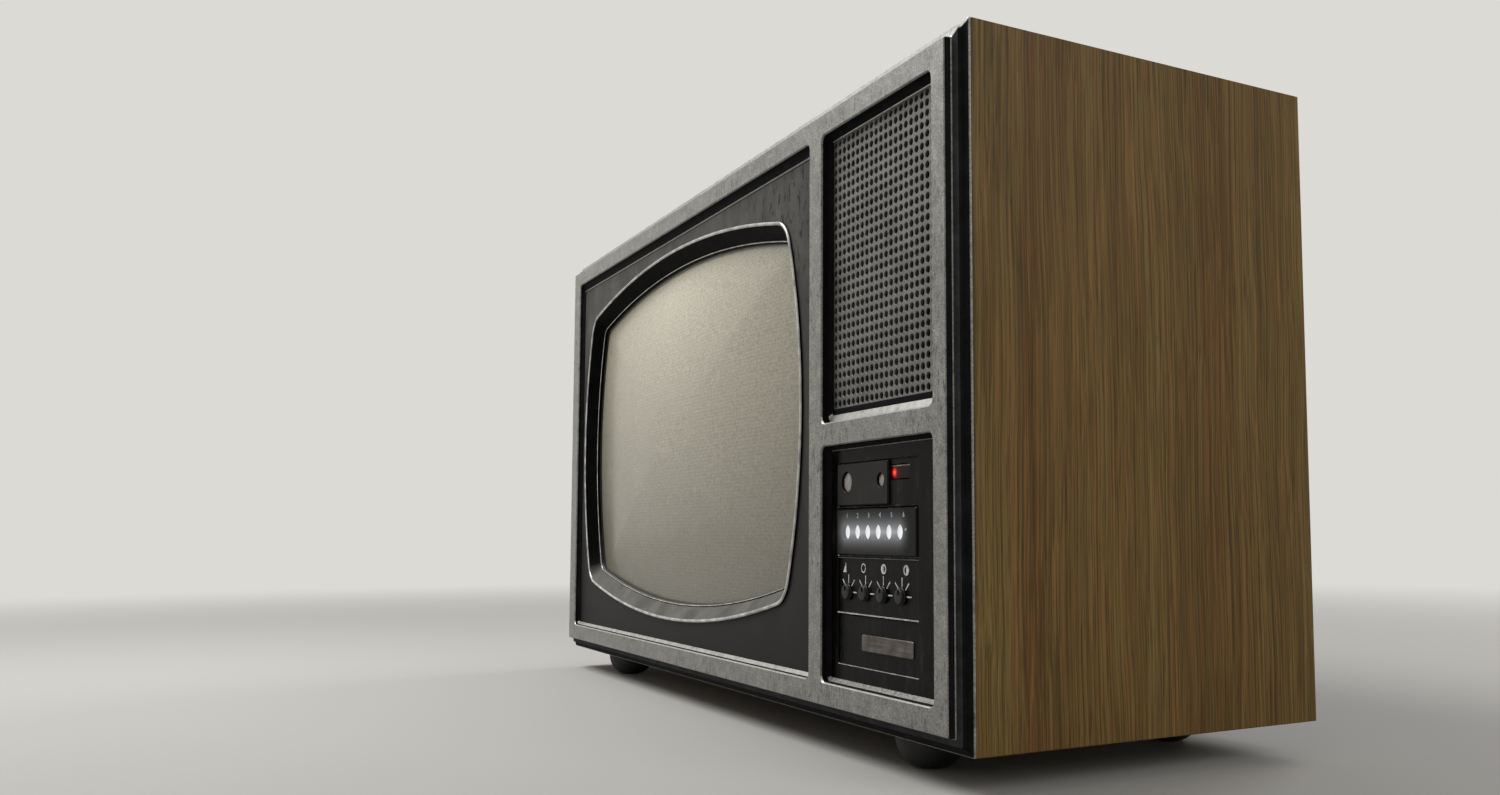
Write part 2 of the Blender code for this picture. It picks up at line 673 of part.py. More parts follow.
# Feet, pushed into holes in the bottom panel
foot_y_front = FRAME_DEPTH + FOOT_FRONT_INSET
foot_y_rear = CABINET_REAR - FOOT_REAR_INSET
foot_x = SIDE_X - FOOT_SIDE_INSET
foot_top = FOOT_HEIGHT - FIT_GAP
foot_profile = [(0, foot_top + FOOT_SPIGOT_LENGTH), (FOOT_SPIGOT_RADIUS, foot_top + FOOT_SPIGOT_LENGTH)]
foot_profile += [(FOOT_SPIGOT_RADIUS, foot_top), (FOOT_RADIUS, foot_top)]
for turn in (0, 28, 54, 74):
    dome = math.radians(turn)
    dome_radius = FOOT_PAD_RADIUS + (FOOT_RADIUS - FOOT_PAD_RADIUS) * math.cos(dome)
    foot_profile.append((dome_radius, foot_top * 0.85 * (1 - math.sin(dome))))
foot_profile += [(FOOT_PAD_RADIUS, 0), (0, 0)]
for end_name, foot_y in (("front", foot_y_front), ("rear", foot_y_rear)):
    for side_name, side in (("left", -1), ("right", 1)):
        place = (side * foot_x, foot_y, 0)
        turned(f"foot_{end_name}_{side_name}", foot_profile, place, UPWARDS, RUBBER)
        reach = FOOT_SPIGOT_RADIUS + FIT_GAP
        hole = box(
            f"foot hole {end_name} {side_name}",
            (place[0] - reach, foot_y - reach, BASE_Z - OVERSHOOT),
            (place[0] + reach, foot_y + reach, FLOOR_Z + OVERSHOOT),
        )
        cut(cabinet_floor, hole)


# Front frame: a stepped rim round a flat plate, with a lip that enters the cabinet
frame_back = FRAME_DEPTH - FIT_GAP
rim_steps = (
    (-RIM_BEVEL, 0),
    (0, RIM_BEVEL),
    (RIM_DRAFT, RIM_FACE),
    (RIM_SHELF_WIDTH, RIM_FACE + RIM_SHELF_FALL),
    (RIM_STEP_WIDTH, frame_back - RIM_COVE_FRONT),
    (RIM_COVE_WIDTH, frame_back - RIM_COVE_BACK),
)
lip_outside = grown(CABINET_INSIDE, -FIT_GAP)
frame_rings = [ring(square(grown(PLATE, out)), depth) for out, depth in rim_steps]
frame_rings.append(ring(square(CABINET), frame_back - RIM_EDGE))
frame_rings.append(ring(square(CABINET), frame_back))
frame_rings.append(ring(square(lip_outside), frame_back))
frame_rings.append(ring(square(lip_outside), frame_back + LIP_LENGTH))
front_frame = loft("front_frame", frame_rings, SILVER_PAINT)
pocket = square(grown(lip_outside, -LIP_WALL))
cut(front_frame, slab("frame pocket", pocket, frame_back, frame_back + LIP_LENGTH + OVERSHOOT))


def window_cutter(name, window, panel_depth):
    """Bevelled front edge, straight wall, inward foot, then the wider seat behind it for the panel."""
    seat = panel_depth - FIT_GAP
    steps = (
        (WINDOW_BEVEL + OVERSHOOT, -OVERSHOOT),
        (0, WINDOW_BEVEL),
        (0, seat - WINDOW_FOOT),
        (-WINDOW_FOOT, seat),
        (SEAT_WIDTH, seat),
        (SEAT_WIDTH, frame_back + OVERSHOOT),
    )
    rings = [ring(rounded(grown(window, out), WINDOW_RADIUS + out), depth) for out, depth in steps]
    return loft(name, rings)


cut(front_frame, window_cutter("screen window", SCREEN_WINDOW, MASK_DEPTH))
cut(front_frame, window_cutter("grille window", GRILLE_WINDOW, GRILLE_DEPTH))
cut(front_frame, window_cutter("control window", CONTROL_WINDOW, FASCIA_DEPTH))


def window_panel(window):
    """Outline of a panel that drops into the seat behind a window."""
    side = SEAT_WIDTH - FIT_GAP
    return rounded(grown(window, side), WINDOW_RADIUS + side)


# Screen mask with the tube opening and four pillars for the tube's lugs
mask_back = MASK_DEPTH + MASK_THICKNESS
screen_mask = slab("screen_mask", window_panel(SCREEN_WINDOW), MASK_DEPTH, mask_back, DARK_PLASTIC)
cut(
    screen_mask,
    loft(
        "mask opening",
        [
            tube_ring(barrel(LIP_OVERLAP), MASK_DEPTH - OVERSHOOT),
            tube_ring(barrel(LIP_OVERLAP), mask_back + OVERSHOOT),
        ],
    ),
)
lug_centre = tube_corner()[0]
band_inset = SKIRT_INSET - FIT_GAP - BAND_THICKNESS
lug_reach = (TUBE_CORNER_RADIUS - band_inset + LUG_HOLE_REACH) * math.sqrt(0.5)
tube_screw_places = [
    (TUBE_X + sx * (lug_centre.x + lug_reach), TUBE_Z + sz * (lug_centre.y + lug_reach), sx, sz)
    for sz in (-1, 1)
    for sx in (-1, 1)
]
for number, (screw_x, screw_z, _, _) in enumerate(tube_screw_places, 1):
    pillar = rod(
        f"pillar {number}", screw_x, screw_z, PILLAR_RADIUS, mask_back - WELD_DEPTH, LUG_FRONT - FIT_GAP
    )
    bore = rod(
        f"pillar bore {number}", screw_x, screw_z, TUBE_SCREW_RADIUS + FIT_GAP,
        LUG_BACK - TUBE_SCREW_LENGTH - OVERSHOOT, LUG_BACK + OVERSHOOT,
    )
    weld(screen_mask, pillar)
    cut(screen_mask, bore)

# Tube surround: a beaded lip on the mask, then a slope down to the glass
lip_front = MASK_DEPTH - FIT_GAP - LIP_HEIGHT
lip_back = MASK_DEPTH - FIT_GAP
throat = LIP_OVERLAP + FIT_GAP
surround_profile = (
    (0, lip_back),
    (0, lip_front + LIP_BEVEL),
    (LIP_BEVEL, lip_front),
    (LIP_OVERLAP - LIP_CREST, lip_front),
    (LIP_OVERLAP, lip_front + LIP_FALL),
    (SURROUND_WIDTH - SURROUND_NOSE, SURROUND_BACK - SURROUND_NOSE_DEPTH),
    (SURROUND_WIDTH, SURROUND_BACK - SURROUND_EDGE),
    (SURROUND_WIDTH, SURROUND_BACK),
    (SURROUND_WIDTH - SURROUND_WALL, SURROUND_BACK),
    (throat, lip_back + SURROUND_WALL),
    (throat, lip_back),
)
surround_rings = [tube_ring(barrel(inset), depth) for inset, depth in surround_profile]
loft("tube_surround", surround_rings, GLOSS_BLACK, loop=True, smooth=35)

# Gasket between the surround and the glass
gasket_front = SURROUND_BACK + FIT_GAP
gasket_back = gasket_front + GASKET_THICKNESS
gasket_inner = SURROUND_WIDTH + GASKET_SHOWS
gasket_outer = gasket_inner - GASKET_WIDTH
gasket_profile = (
    (gasket_outer, gasket_front),
    (gasket_inner, gasket_front),
    (gasket_inner, gasket_back),
    (gasket_outer, gasket_back),
)
gasket_rings = [tube_ring(barrel(inset), depth) for inset, depth in gasket_profile]
loft("tube_gasket", gasket_rings, RUBBER, loop=True)


# Picture tube: bulged face, skirt, funnel and neck, open at the neck's end
def face_rings(offset, shares):
    """Rings of the bulged face, from the edge inwards, moved back by offset."""
    edge = barrel(SURROUND_WIDTH)
    return [tube_ring(scaled(edge, s), FACE_EDGE + offset - FACE_BULGE * (1 - s * s)) for s in shares]


def funnel_rings(wall):
    """Rings from the skirt to the end of the flare, moved in by the wall."""
    skirt = barrel(SKIRT_INSET + wall)
    rings = []
    for share in FUNNEL_SHARES:
        depth = SKIRT_END + FUNNEL_LENGTH * share
        rings.append(tube_ring(towards_circle(skirt, FUNNEL_RADIUS - wall, share**1.2), depth))
    return rings


def round_ring(radius, depth):
    return tube_ring(towards_circle(barrel(SKIRT_INSET), radius, 1), depth)


neck_bore = NECK_RADIUS - NECK_WALL
tube_rings = face_rings(0, (0.25, 0.55, 0.82, 1))
tube_rings.append(tube_ring(barrel(SKIRT_INSET), FACE_EDGE + FACE_ROLL))
tube_rings += funnel_rings(0)
tube_rings += [round_ring(NECK_RADIUS, FLARE_END), round_ring(NECK_RADIUS, NECK_END)]
tube_rings += [round_ring(neck_bore, NECK_END), round_ring(neck_bore, FLARE_END)]
tube_rings += funnel_rings(FUNNEL_WALL)[::-1]
tube_rings += face_rings(FACE_THICKNESS, (0.92, 0.4))
loft("picture_tube", tube_rings, GREY_GLASS, smooth=35)

# Rim band with a lug at each corner
band_steps = (
    (SKIRT_INSET - FIT_GAP, BAND_FRONT),
    (band_inset, BAND_FRONT),
    (band_inset, BAND_FRONT + BAND_WIDTH),
    (SKIRT_INSET - FIT_GAP, BAND_FRONT + BAND_WIDTH),
)
band_rings = [tube_ring(barrel(inset), depth) for inset, depth in band_steps]
rim_band = loft("tube_rim_band", band_rings, STEEL, loop=True)
lug_start = TUBE_CORNER_RADIUS - band_inset - WELD_DEPTH
lug_end = TUBE_CORNER_RADIUS - band_inset + LUG_LENGTH
for number, (screw_x, screw_z, sx, sz) in enumerate(tube_screw_places, 1):
    across = Vector((-sz, sx)).normalized() * LUG_WIDTH / 2
    out = Vector((sx, sz)).normalized()
    root = Vector((TUBE_X + sx * lug_centre.x, TUBE_Z + sz * lug_centre.y))
    near, far = root + out * lug_start, root + out * lug_end
    outline = [tuple(near - across), tuple(far - across), tuple(far + across), tuple(near + across)]
    weld(rim_band, slab(f"lug {number}", outline, LUG_FRONT, LUG_BACK))
    hole = rod(
        f"lug hole {number}", screw_x, screw_z, TUBE_SCREW_RADIUS + FIT_GAP,
        LUG_FRONT - OVERSHOOT, LUG_BACK + OVERSHOOT,
    )
    cut(rim_band, hole)


def pan_head_screw(name, place, axis, radius, length):
    """A screw whose head rests FIT_GAP off the face at place, with its shank running in from there."""
    top = FIT_GAP + SCREW_HEAD_HEIGHT
    profile = [
        (0, top),
        (SCREW_HEAD_RADIUS * 0.7, top),
        (SCREW_HEAD_RADIUS, FIT_GAP + SCREW_HEAD_HEIGHT * 0.4),
        (SCREW_HEAD_RADIUS, FIT_GAP),
        (radius, FIT_GAP),
        (radius, -length),
        (0, -length),
    ]
    return turned(name, profile, place, axis, STEEL, steps=12)


for number, (screw_x, screw_z, _, _) in enumerate(tube_screw_places, 1):
    place = (screw_x, LUG_BACK, screw_z)
    pan_head_screw(f"tube_screw_{number}", place, BACKWARDS, TUBE_SCREW_RADIUS, TUBE_SCREW_LENGTH)

# Electron gun in the neck, with the stem that closes it
gun_radius = neck_bore - RUN_GAP
gun_profile = [(0, 0), (gun_radius, 0), (gun_radius, -GUN_STEM)]
gun_top = -GUN_STEM - GUN_DISC_GAP
for disc in range(GUN_DISC_COUNT):
    gun_profile += [(GUN_CORE_RADIUS, gun_top + GUN_TAPER), (GUN_CORE_RADIUS, gun_top)]
    gun_profile += [(GUN_DISC_RADIUS, gun_top), (GUN_DISC_RADIUS, gun_top - GUN_DISC_LENGTH)]
    gun_top -= GUN_DISC_PITCH
gun_profile += [(GUN_TIP_RADIUS, gun_top), (0, gun_top)]
turned("electron_gun", gun_profile, (TUBE_X, NECK_END, TUBE_Z), BACKWARDS, STEEL)

# Deflection yoke round the flare
yoke_front = FUNNEL_END + YOKE_START
yoke_inner = FUNNEL_RADIUS + YOKE_CLEARANCE
yoke_tail_radius = NECK_RADIUS + RUN_GAP
yoke_profile = [
    (yoke_tail_radius, FLARE_END + YOKE_TAIL),
    (yoke_tail_radius + YOKE_WALL, FLARE_END + YOKE_TAIL),
    (yoke_tail_radius + YOKE_WALL, FLARE_END - YOKE_COLLAR),
    (yoke_inner + YOKE_WAIST_WALL, yoke_front + YOKE_FLANGE + YOKE_SHOULDER),
    (yoke_inner + YOKE_WALL, yoke_front + YOKE_FLANGE),
    (yoke_inner + YOKE_WALL, yoke_front),
    (yoke_inner, yoke_front),
    (yoke_tail_radius, FLARE_END),
]
turned("deflection_yoke", yoke_profile, (TUBE_X, 0, TUBE_Z), BACKWARDS, FERRITE, LARGE_ROUND, closed=True)

# Tube socket and its board, pushed over the neck's end
socket = rod(
    "tube_socket", TUBE_X, TUBE_Z, SOCKET_RADIUS, NECK_END + FIT_GAP, NECK_END + SOCKET_LENGTH, BROWN_PLASTIC
)
neck_board = centred(TUBE_X, TUBE_Z, NECK_BOARD_SIZE, NECK_BOARD_SIZE)
socket_back = NECK_END + SOCKET_LENGTH
weld(socket, slab("neck board", square(neck_board), socket_back - WELD_DEPTH, socket_back + BOARD_THICKNESS))

# Anode cap on top of the funnel
skirt_height = TUBE_HALF_HEIGHT - SKIRT_INSET


def funnel_top(share):
    """Depth and height of the funnel's top line at a share of its length, as a point."""
    drop = (skirt_height - FUNNEL_RADIUS) * share**1.2
    return Vector((SKIRT_END + FUNNEL_LENGTH * share, TUBE_Z + skirt_height - drop))


step_before, step_after = funnel_top(FUNNEL_SHARES[0]), funnel_top(FUNNEL_SHARES[1])
cap_seat = step_before.lerp(step_after, ANODE_CAP_SHARE)
slope = (step_after - step_before).normalized()
cap_axis = Vector((0, -slope.y, slope.x))
cap_place = Vector((TUBE_X, cap_seat.x, cap_seat.y)) + cap_axis * FIT_GAP
nipple_radius = ANODE_LEAD_RADIUS * 1.6
nipple_top = ANODE_CAP_HEIGHT + ANODE_NIPPLE
cap_profile = [
    (0, nipple_top),
    (nipple_radius, nipple_top),
    (nipple_radius, ANODE_CAP_HEIGHT),
    (ANODE_CAP_RADIUS * 0.6, ANODE_CAP_HEIGHT * 0.75),
    (ANODE_CAP_RADIUS, ANODE_CAP_HEIGHT * 0.25),
    (ANODE_CAP_RADIUS, 0),
    (0, 0),
]
turned("anode_cap", cap_profile, cap_place, cap_axis, RUBBER)

# Chassis tray: a folded channel on the cabinet floor, with lips that carry the main board
tray_x0, tray_x1 = TRAY_X
tray_top = TRAY_BASE + TRAY_HEIGHT
channel = [
    (TRAY_FRONT, TRAY_BASE),
    (TRAY_REAR, TRAY_BASE),
    (TRAY_REAR, tray_top),
    (TRAY_REAR - TRAY_LIP, tray_top),
    (TRAY_REAR - TRAY_LIP, tray_top - TRAY_SHEET),
    (TRAY_REAR - TRAY_SHEET, tray_top - TRAY_SHEET),
    (TRAY_REAR - TRAY_SHEET, TRAY_BASE + TRAY_SHEET),
    (TRAY_FRONT + TRAY_SHEET, TRAY_BASE + TRAY_SHEET),
    (TRAY_FRONT + TRAY_SHEET, tray_top - TRAY_SHEET),
    (TRAY_FRONT + TRAY_LIP, tray_top - TRAY_SHEET),
    (TRAY_FRONT + TRAY_LIP, tray_top),
    (TRAY_FRONT, tray_top),
]
loft("chassis_tray", [[(x, y, z) for y, z in channel] for x in TRAY_X], DARK_STEEL)
box(
    "main_circuit_board",
    (tray_x0 + BOARD_INSET, TRAY_FRONT + FIT_GAP, BOARD_BOTTOM),
    (tray_x1 - BOARD_INSET, TRAY_REAR - FIT_GAP, BOARD_TOP),
    CIRCUIT_BOARD,
)

# Line output transformer, filter capacitor and tuner on the board
flyback_x = CABINET_INSIDE.right - FLYBACK_FROM_RIGHT
flyback_top = CHASSIS_Z + FLYBACK_HEIGHT
flyback = box(
    "line_output_transformer",
    (flyback_x - FLYBACK_WIDTH / 2, CHASSIS_Y - FLYBACK_DEPTH / 2, CHASSIS_Z),
    (flyback_x + FLYBACK_WIDTH / 2, CHASSIS_Y + FLYBACK_DEPTH / 2, flyback_top),
    FERRITE,
)
coil_top = flyback_top + FLYBACK_COIL_HEIGHT
coil_profile = [
    (0, coil_top),
    (FLYBACK_COIL_RADIUS, coil_top),
    (FLYBACK_COIL_RADIUS, flyback_top - WELD_DEPTH),
    (0, flyback_top - WELD_DEPTH),
]
weld(flyback, turned("output coil", coil_profile, (flyback_x, CHASSIS_Y, 0), UPWARDS, None))
capacitor_top = CHASSIS_Z + CAPACITOR_HEIGHT
capacitor_profile = [
    (0, capacitor_top),
    (CAPACITOR_RADIUS - CAPACITOR_BEVEL, capacitor_top),
    (CAPACITOR_RADIUS, capacitor_top - CAPACITOR_BEVEL),
    (CAPACITOR_RADIUS, CHASSIS_Z),
    (0, CHASSIS_Z),
]
capacitor_x = CABINET_INSIDE.right - CAPACITOR_FROM_RIGHT
turned("filter_capacitor", capacitor_profile, (capacitor_x, CHASSIS_Y, 0), UPWARDS, GLOSS_BLACK)
tuner_x = CABINET_INSIDE.right - TUNER_FROM_RIGHT
box(
    "tuner_box",
    (tuner_x - TUNER_WIDTH / 2, CHASSIS_Y - TUNER_DEPTH / 2, CHASSIS_Z),
    (tuner_x + TUNER_WIDTH / 2, CHASSIS_Y + TUNER_DEPTH / 2, CHASSIS_Z + TUNER_HEIGHT),
    STEEL,
)

# Anode lead, held from the cap to the top of the transformer
lead_start = cap_place + cap_axis * (nipple_top + FIT_GAP)
lead_end = Vector((flyback_x, CHASSIS_Y, coil_top + FIT_GAP))
lead_leaves = lead_start + cap_axis * LEAD_STRAIGHT
lead_arrives = lead_end + Vector((0, 0, LEAD_STRAIGHT))
lead_pull = (lead_start.z - lead_end.z) / 2
lead_high = lead_leaves + cap_axis * LEAD_RISE
lead_low = lead_arrives + Vector((0, 0, lead_pull))
lead_bends = (lead_leaves, lead_high, lead_low, lead_arrives)


def along_lead(share):
    a, b, c, d = lead_bends
    keep = 1 - share
    return a * keep**3 + b * (3 * keep**2 * share) + c * (3 * keep * share**2) + d * share**3


lead_path = [lead_start] + [along_lead(step / LEAD_STEPS) for step in range(LEAD_STEPS + 1)] + [lead_end]
lead_curve = bpy.data.curves.new("anode_lead", "CURVE")
lead_curve.dimensions = "3D"
lead_curve.bevel_depth = ANODE_LEAD_RADIUS
lead_curve.bevel_resolution = 1
lead_curve.use_fill_caps = True
lead_spline = lead_curve.splines.new("POLY")
lead_spline.points.add(len(lead_path) - 1)
for point, stop in zip(lead_spline.points, lead_path):
    point.co = (*stop, 1)
lead_curve.materials.append(RUBBER)
anode_lead = bpy.data.objects.new("anode_lead", lead_curve)
anode_lead.parent = television
PARTS.objects.link(anode_lead)

# Loudspeaker grille, pierced with square holes
grille_back = GRILLE_DEPTH + GRILLE_THICKNESS
grille = slab("speaker_grille", window_panel(GRILLE_WINDOW), GRILLE_DEPTH, grille_back, DARK_PLASTIC)
pierced = grown(GRILLE_WINDOW, -GRILLE_MARGIN - GRILLE_HOLE / 2)
grille_columns = 1 + int((pierced.right - pierced.left) / GRILLE_PITCH)
grille_rows = 1 + int((pierced.top - pierced.bottom) / GRILLE_PITCH)
speaker_x, speaker_z = middle(GRILLE_WINDOW)
first_hole = centred(
    speaker_x - GRILLE_PITCH * (grille_columns - 1) / 2,
    speaker_z - GRILLE_PITCH * (grille_rows - 1) / 2,
    GRILLE_HOLE,
    GRILLE_HOLE,
)
holes = slab("grille holes", square(first_hole), GRILLE_DEPTH - OVERSHOOT, grille_back + OVERSHOOT)
repeat(holes, grille_columns, (GRILLE_PITCH, 0, 0))
repeat(holes, grille_rows, (0, 0, GRILLE_PITCH))
cut(grille, holes)

# Oval loudspeaker: paper cone with its rim, steel basket and magnet
speaker_radius = (GRILLE_WINDOW.right - GRILLE_WINDOW.left) / 2 - SPEAKER_SIDE_MARGIN
speaker_half_height = (GRILLE_WINDOW.top - GRILLE_WINDOW.bottom) / 2 - SPEAKER_END_MARGIN
speaker_stretch = (1, speaker_half_height / speaker_radius, 1)
speaker_front = grille_back + FIT_GAP
speaker_throat = speaker_radius - SPEAKER_RIM
rim_back = -CONE_WALL
cone_apex = -SPEAKER_DEPTH + CONE_CLEARANCE
cone_profile = [
    (0, cone_apex + DUST_CAP_HEIGHT),
    (VOICE_COIL_RADIUS, cone_apex),
    (speaker_throat - 2 * CONE_INSET, 0),
    (speaker_radius - CONE_INSET, 0),
    (speaker_radius - CONE_INSET, rim_back),
    (speaker_throat - CONE_INSET, rim_back),
    (VOICE_COIL_RADIUS, cone_apex - 2 * CONE_WALL),
    (0, cone_apex - 2 * CONE_WALL),
]
speaker_place = (speaker_x, speaker_front, speaker_z)
cone = turned("speaker_cone", cone_profile, speaker_place, FRONTWARDS, PAPER, LARGE_ROUND)
cone.scale = speaker_stretch
basket_top = rim_back - FIT_GAP
basket_profile = [
    (0, -SPEAKER_DEPTH),
    (BASKET_FLOOR_RADIUS - SPEAKER_WALL, -SPEAKER_DEPTH),
    (speaker_throat, basket_top - BASKET_COLLAR),
    (speaker_throat, basket_top),
    (speaker_radius, basket_top),
    (speaker_radius, basket_top - SPEAKER_WALL),
    (speaker_throat + SPEAKER_WALL, basket_top - SPEAKER_WALL),
    (BASKET_FLOOR_RADIUS + SPEAKER_WALL, -SPEAKER_DEPTH - SPEAKER_WALL),
    (0, -SPEAKER_DEPTH - SPEAKER_WALL),
]
basket = turned("speaker_basket", basket_profile, speaker_place, FRONTWARDS, STEEL, LARGE_ROUND)
basket.scale = speaker_stretch
magnet_front = speaker_front + SPEAKER_DEPTH + SPEAKER_WALL + FIT_GAP
magnet_back = magnet_front + MAGNET_LENGTH
rod("speaker_magnet", speaker_x, speaker_z, MAGNET_RADIUS, magnet_front, magnet_back, FERRITE, LARGE_ROUND)

# Control fascia with four fields, holes for every control and posts for the bracket
fascia = slab("control_fascia", window_panel(CONTROL_WINDOW), FASCIA_DEPTH, FASCIA_BACK, GLOSS_BLACK)
for number, field in enumerate(FIELDS, 1):
    cut(fascia, slab(f"field {number}", square(field), FASCIA_DEPTH - OVERSHOOT, FIELD_FLOOR))
post_xs = (CONTROL_WINDOW.left + POST_INSET, CONTROL_WINDOW.right - POST_RIGHT_INSET)
post_zs = (CONTROL_WINDOW.bottom + POST_INSET, CONTROL_WINDOW.top - POST_INSET)
for post_x in post_xs:
    for post_z in post_zs:
        post_root = FASCIA_BACK - WELD_DEPTH
        weld(fascia, rod("bracket post", post_x, post_z, POST_RADIUS, post_root, CARRIED_BACK, steps=12))


def fascia_hole(name, x, z, radius):
    cut(fascia, rod(name, x, z, radius + RUN_GAP, FASCIA_DEPTH - OVERSHOOT, FASCIA_BACK + OVERSHOOT))


lens_hole = grown(LENS, FIT_GAP)
cut(fascia, slab("lens hole", square(lens_hole), FASCIA_DEPTH - OVERSHOOT, FASCIA_BACK + OVERSHOOT))
lens_front = FIELD_FLOOR + LENS_SINK
slab("indicator_lens", square(LENS), lens_front, lens_front + LENS_THICKNESS, RED_LENS)

# Control bracket: a steel sheet on the fascia's posts, which carries the switches and potentiometers
bracket = grown(CONTROL_WINDOW, -BRACKET_MARGIN)
slab("control_bracket", square(bracket), CONTROL_DEPTH, CONTROL_DEPTH + BRACKET_THICKNESS, DARK_STEEL)


def stem_hole(part, name, x, z, radius, front):
    """A blind hole that guides a button's stem or a knob's shaft."""
    tip = FIELD_FLOOR + STEM_LENGTH + STEM_ROOM
    cut(part, rod(name, x, z, radius + RUN_GAP, front - OVERSHOOT, tip))


def push_button(name, x, z, radius, height, stem_radius, look, flange_radius):
    """A cap that shows through the fascia, a flange that holds it behind, and a stem into its switch."""
    flange = FIELD_FLOOR - FASCIA_BACK - RUN_GAP
    profile = [
        (0, height + BUTTON_BEVEL / 2),
        (radius - BUTTON_BEVEL, height),
        (radius, height - BUTTON_BEVEL),
        (radius, flange),
        (flange_radius, flange),
        (flange_radius, flange - FLANGE_THICKNESS),
        (stem_radius, flange - FLANGE_THICKNESS),
        (stem_radius, -STEM_LENGTH),
        (0, -STEM_LENGTH),
    ]
    fascia_hole(f"{name} hole", x, z, radius)
    return turned(name, profile, (x, FIELD_FLOOR, z), FRONTWARDS, look)


# Programme buttons and their switch bank
bank = Rect(
    PROGRAM_XS[0] - SWITCH_MARGIN,
    PROGRAM_XS[-1] + SWITCH_MARGIN,
    PROGRAM_Z - SWITCH_HALF_HEIGHT,
    PROGRAM_Z + SWITCH_HALF_HEIGHT,
)
switch_bank = slab("program_switch_bank", square(bank), SWITCH_FRONT, CARRIED_BACK, BROWN_PLASTIC)
for number, button_x in enumerate(PROGRAM_XS, 1):
    button_name = f"program_button_{number}"
    push_button(
        button_name, button_x, PROGRAM_Z, PROGRAM_RADIUS, PROGRAM_HEIGHT, PROGRAM_STEM_RADIUS, LIT_PLASTIC,
        (PROGRAM_PITCH - FLANGE_SPACING) / 2,
    )
    stem_hole(switch_bank, f"{button_name} stem hole", button_x, PROGRAM_Z, PROGRAM_STEM_RADIUS, SWITCH_FRONT)

# Power button and mains switch
push_button(
    "power_button", POWER_X, LAMP_ROW_Z, POWER_RADIUS, POWER_HEIGHT, POWER_STEM_RADIUS, PALE_PLASTIC,
    POWER_RADIUS + FLANGE_STEP,
)
mains_switch = slab(
    "mains_switch",
    square(centred(POWER_X, LAMP_ROW_Z, 2 * SWITCH_HALF_HEIGHT, 2 * SWITCH_HALF_HEIGHT)),
    SWITCH_FRONT,
    CARRIED_BACK,
    BROWN_PLASTIC,
)
stem_hole(mains_switch, "mains stem hole", POWER_X, LAMP_ROW_Z, POWER_STEM_RADIUS, SWITCH_FRONT)

# Tuning lock button, with its switch and the lamp on the indicator board
push_button(
    "tuning_lock_button", TUNING_X, LAMP_ROW_Z, TUNING_RADIUS, TUNING_HEIGHT, TUNING_STEM_RADIUS,
    PALE_PLASTIC, TUNING_RADIUS + FLANGE_STEP,
)
board_front = CARRIED_BACK - BOARD_THICKNESS
board_outline = Rect(TUNING_X - SWITCH_MARGIN, LENS.right, LAMP_FIELD.bottom, LAMP_FIELD.top)
indicator_board = slab("indicator_board", square(board_outline), board_front, CARRIED_BACK, CIRCUIT_BOARD)
small_switch = centred(TUNING_X, LAMP_ROW_Z, SWITCH_HALF_HEIGHT, SWITCH_HALF_HEIGHT)
weld(indicator_board, slab("tuning switch", square(small_switch), SWITCH_FRONT, board_front + WELD_DEPTH))
led_x = FIELD_X + LED_START
led_front = lens_front + LENS_THICKNESS + FIT_GAP
weld(
    indicator_board,
    rod("indicator lamp", led_x, middle(LENS)[1], LED_RADIUS, led_front, board_front + WELD_DEPTH, steps=12),
)
stem_hole(indicator_board, "tuning stem hole", TUNING_X, LAMP_ROW_Z, TUNING_STEM_RADIUS, SWITCH_FRONT)

# Knobs on their shafts, and the potentiometers that they turn
pot_reach = POT_RADIUS + POT_BOARD_MARGIN
pot_board = Rect(KNOB_XS[0] - pot_reach, KNOB_XS[-1] + pot_reach, KNOB_Z - pot_reach, KNOB_Z + pot_reach)
potentiometers = slab(
    "potentiometer_bank", square(pot_board), CARRIED_BACK - BOARD_THICKNESS, CARRIED_BACK, CIRCUIT_BOARD
)
knob_profile = [
    (0, KNOB_HEIGHT),
    (KNOB_RADIUS - KNOB_BEVEL, KNOB_HEIGHT),
    (KNOB_RADIUS, KNOB_HEIGHT - KNOB_BEVEL),
    (KNOB_RADIUS + KNOB_SKIRT, KNOB_LIFT),
    (SHAFT_RADIUS, KNOB_LIFT),
    (SHAFT_RADIUS, -SHAFT_LENGTH),
    (0, -SHAFT_LENGTH),
]
shaft_end = FIELD_FLOOR + SHAFT_LENGTH
for knob_name, knob_x in zip(KNOB_NAMES, KNOB_XS):
    node = f"{knob_name}_knob"
    knob = turned(node, knob_profile, (knob_x, FIELD_FLOOR, KNOB_Z), FRONTWARDS, GLOSS_BLACK)
    knob_front = FIELD_FLOOR - KNOB_HEIGHT
    pointer = box(
        f"{node} pointer",
        (knob_x - POINTER_WIDTH / 2, knob_front - POINTER_HEIGHT, KNOB_Z + KNOB_RADIUS * 0.2),
        (knob_x + POINTER_WIDTH / 2, knob_front + WELD_DEPTH, KNOB_Z + KNOB_RADIUS - KNOB_BEVEL),
    )
    weld(knob, pointer)
    fascia_hole(f"{node} hole", knob_x, KNOB_Z, SHAFT_RADIUS)
    pot_back = CARRIED_BACK - BOARD_THICKNESS + WELD_DEPTH
    weld(potentiometers, rod(f"{knob_name} potentiometer", knob_x, KNOB_Z, POT_RADIUS, POT_FRONT, pot_back))
    bore_end = shaft_end + RUN_GAP
    bore_radius = SHAFT_RADIUS + RUN_GAP
    cut(potentiometers, rod(f"{node} bore", knob_x, KNOB_Z, bore_radius, POT_FRONT - OVERSHOOT, bore_end))

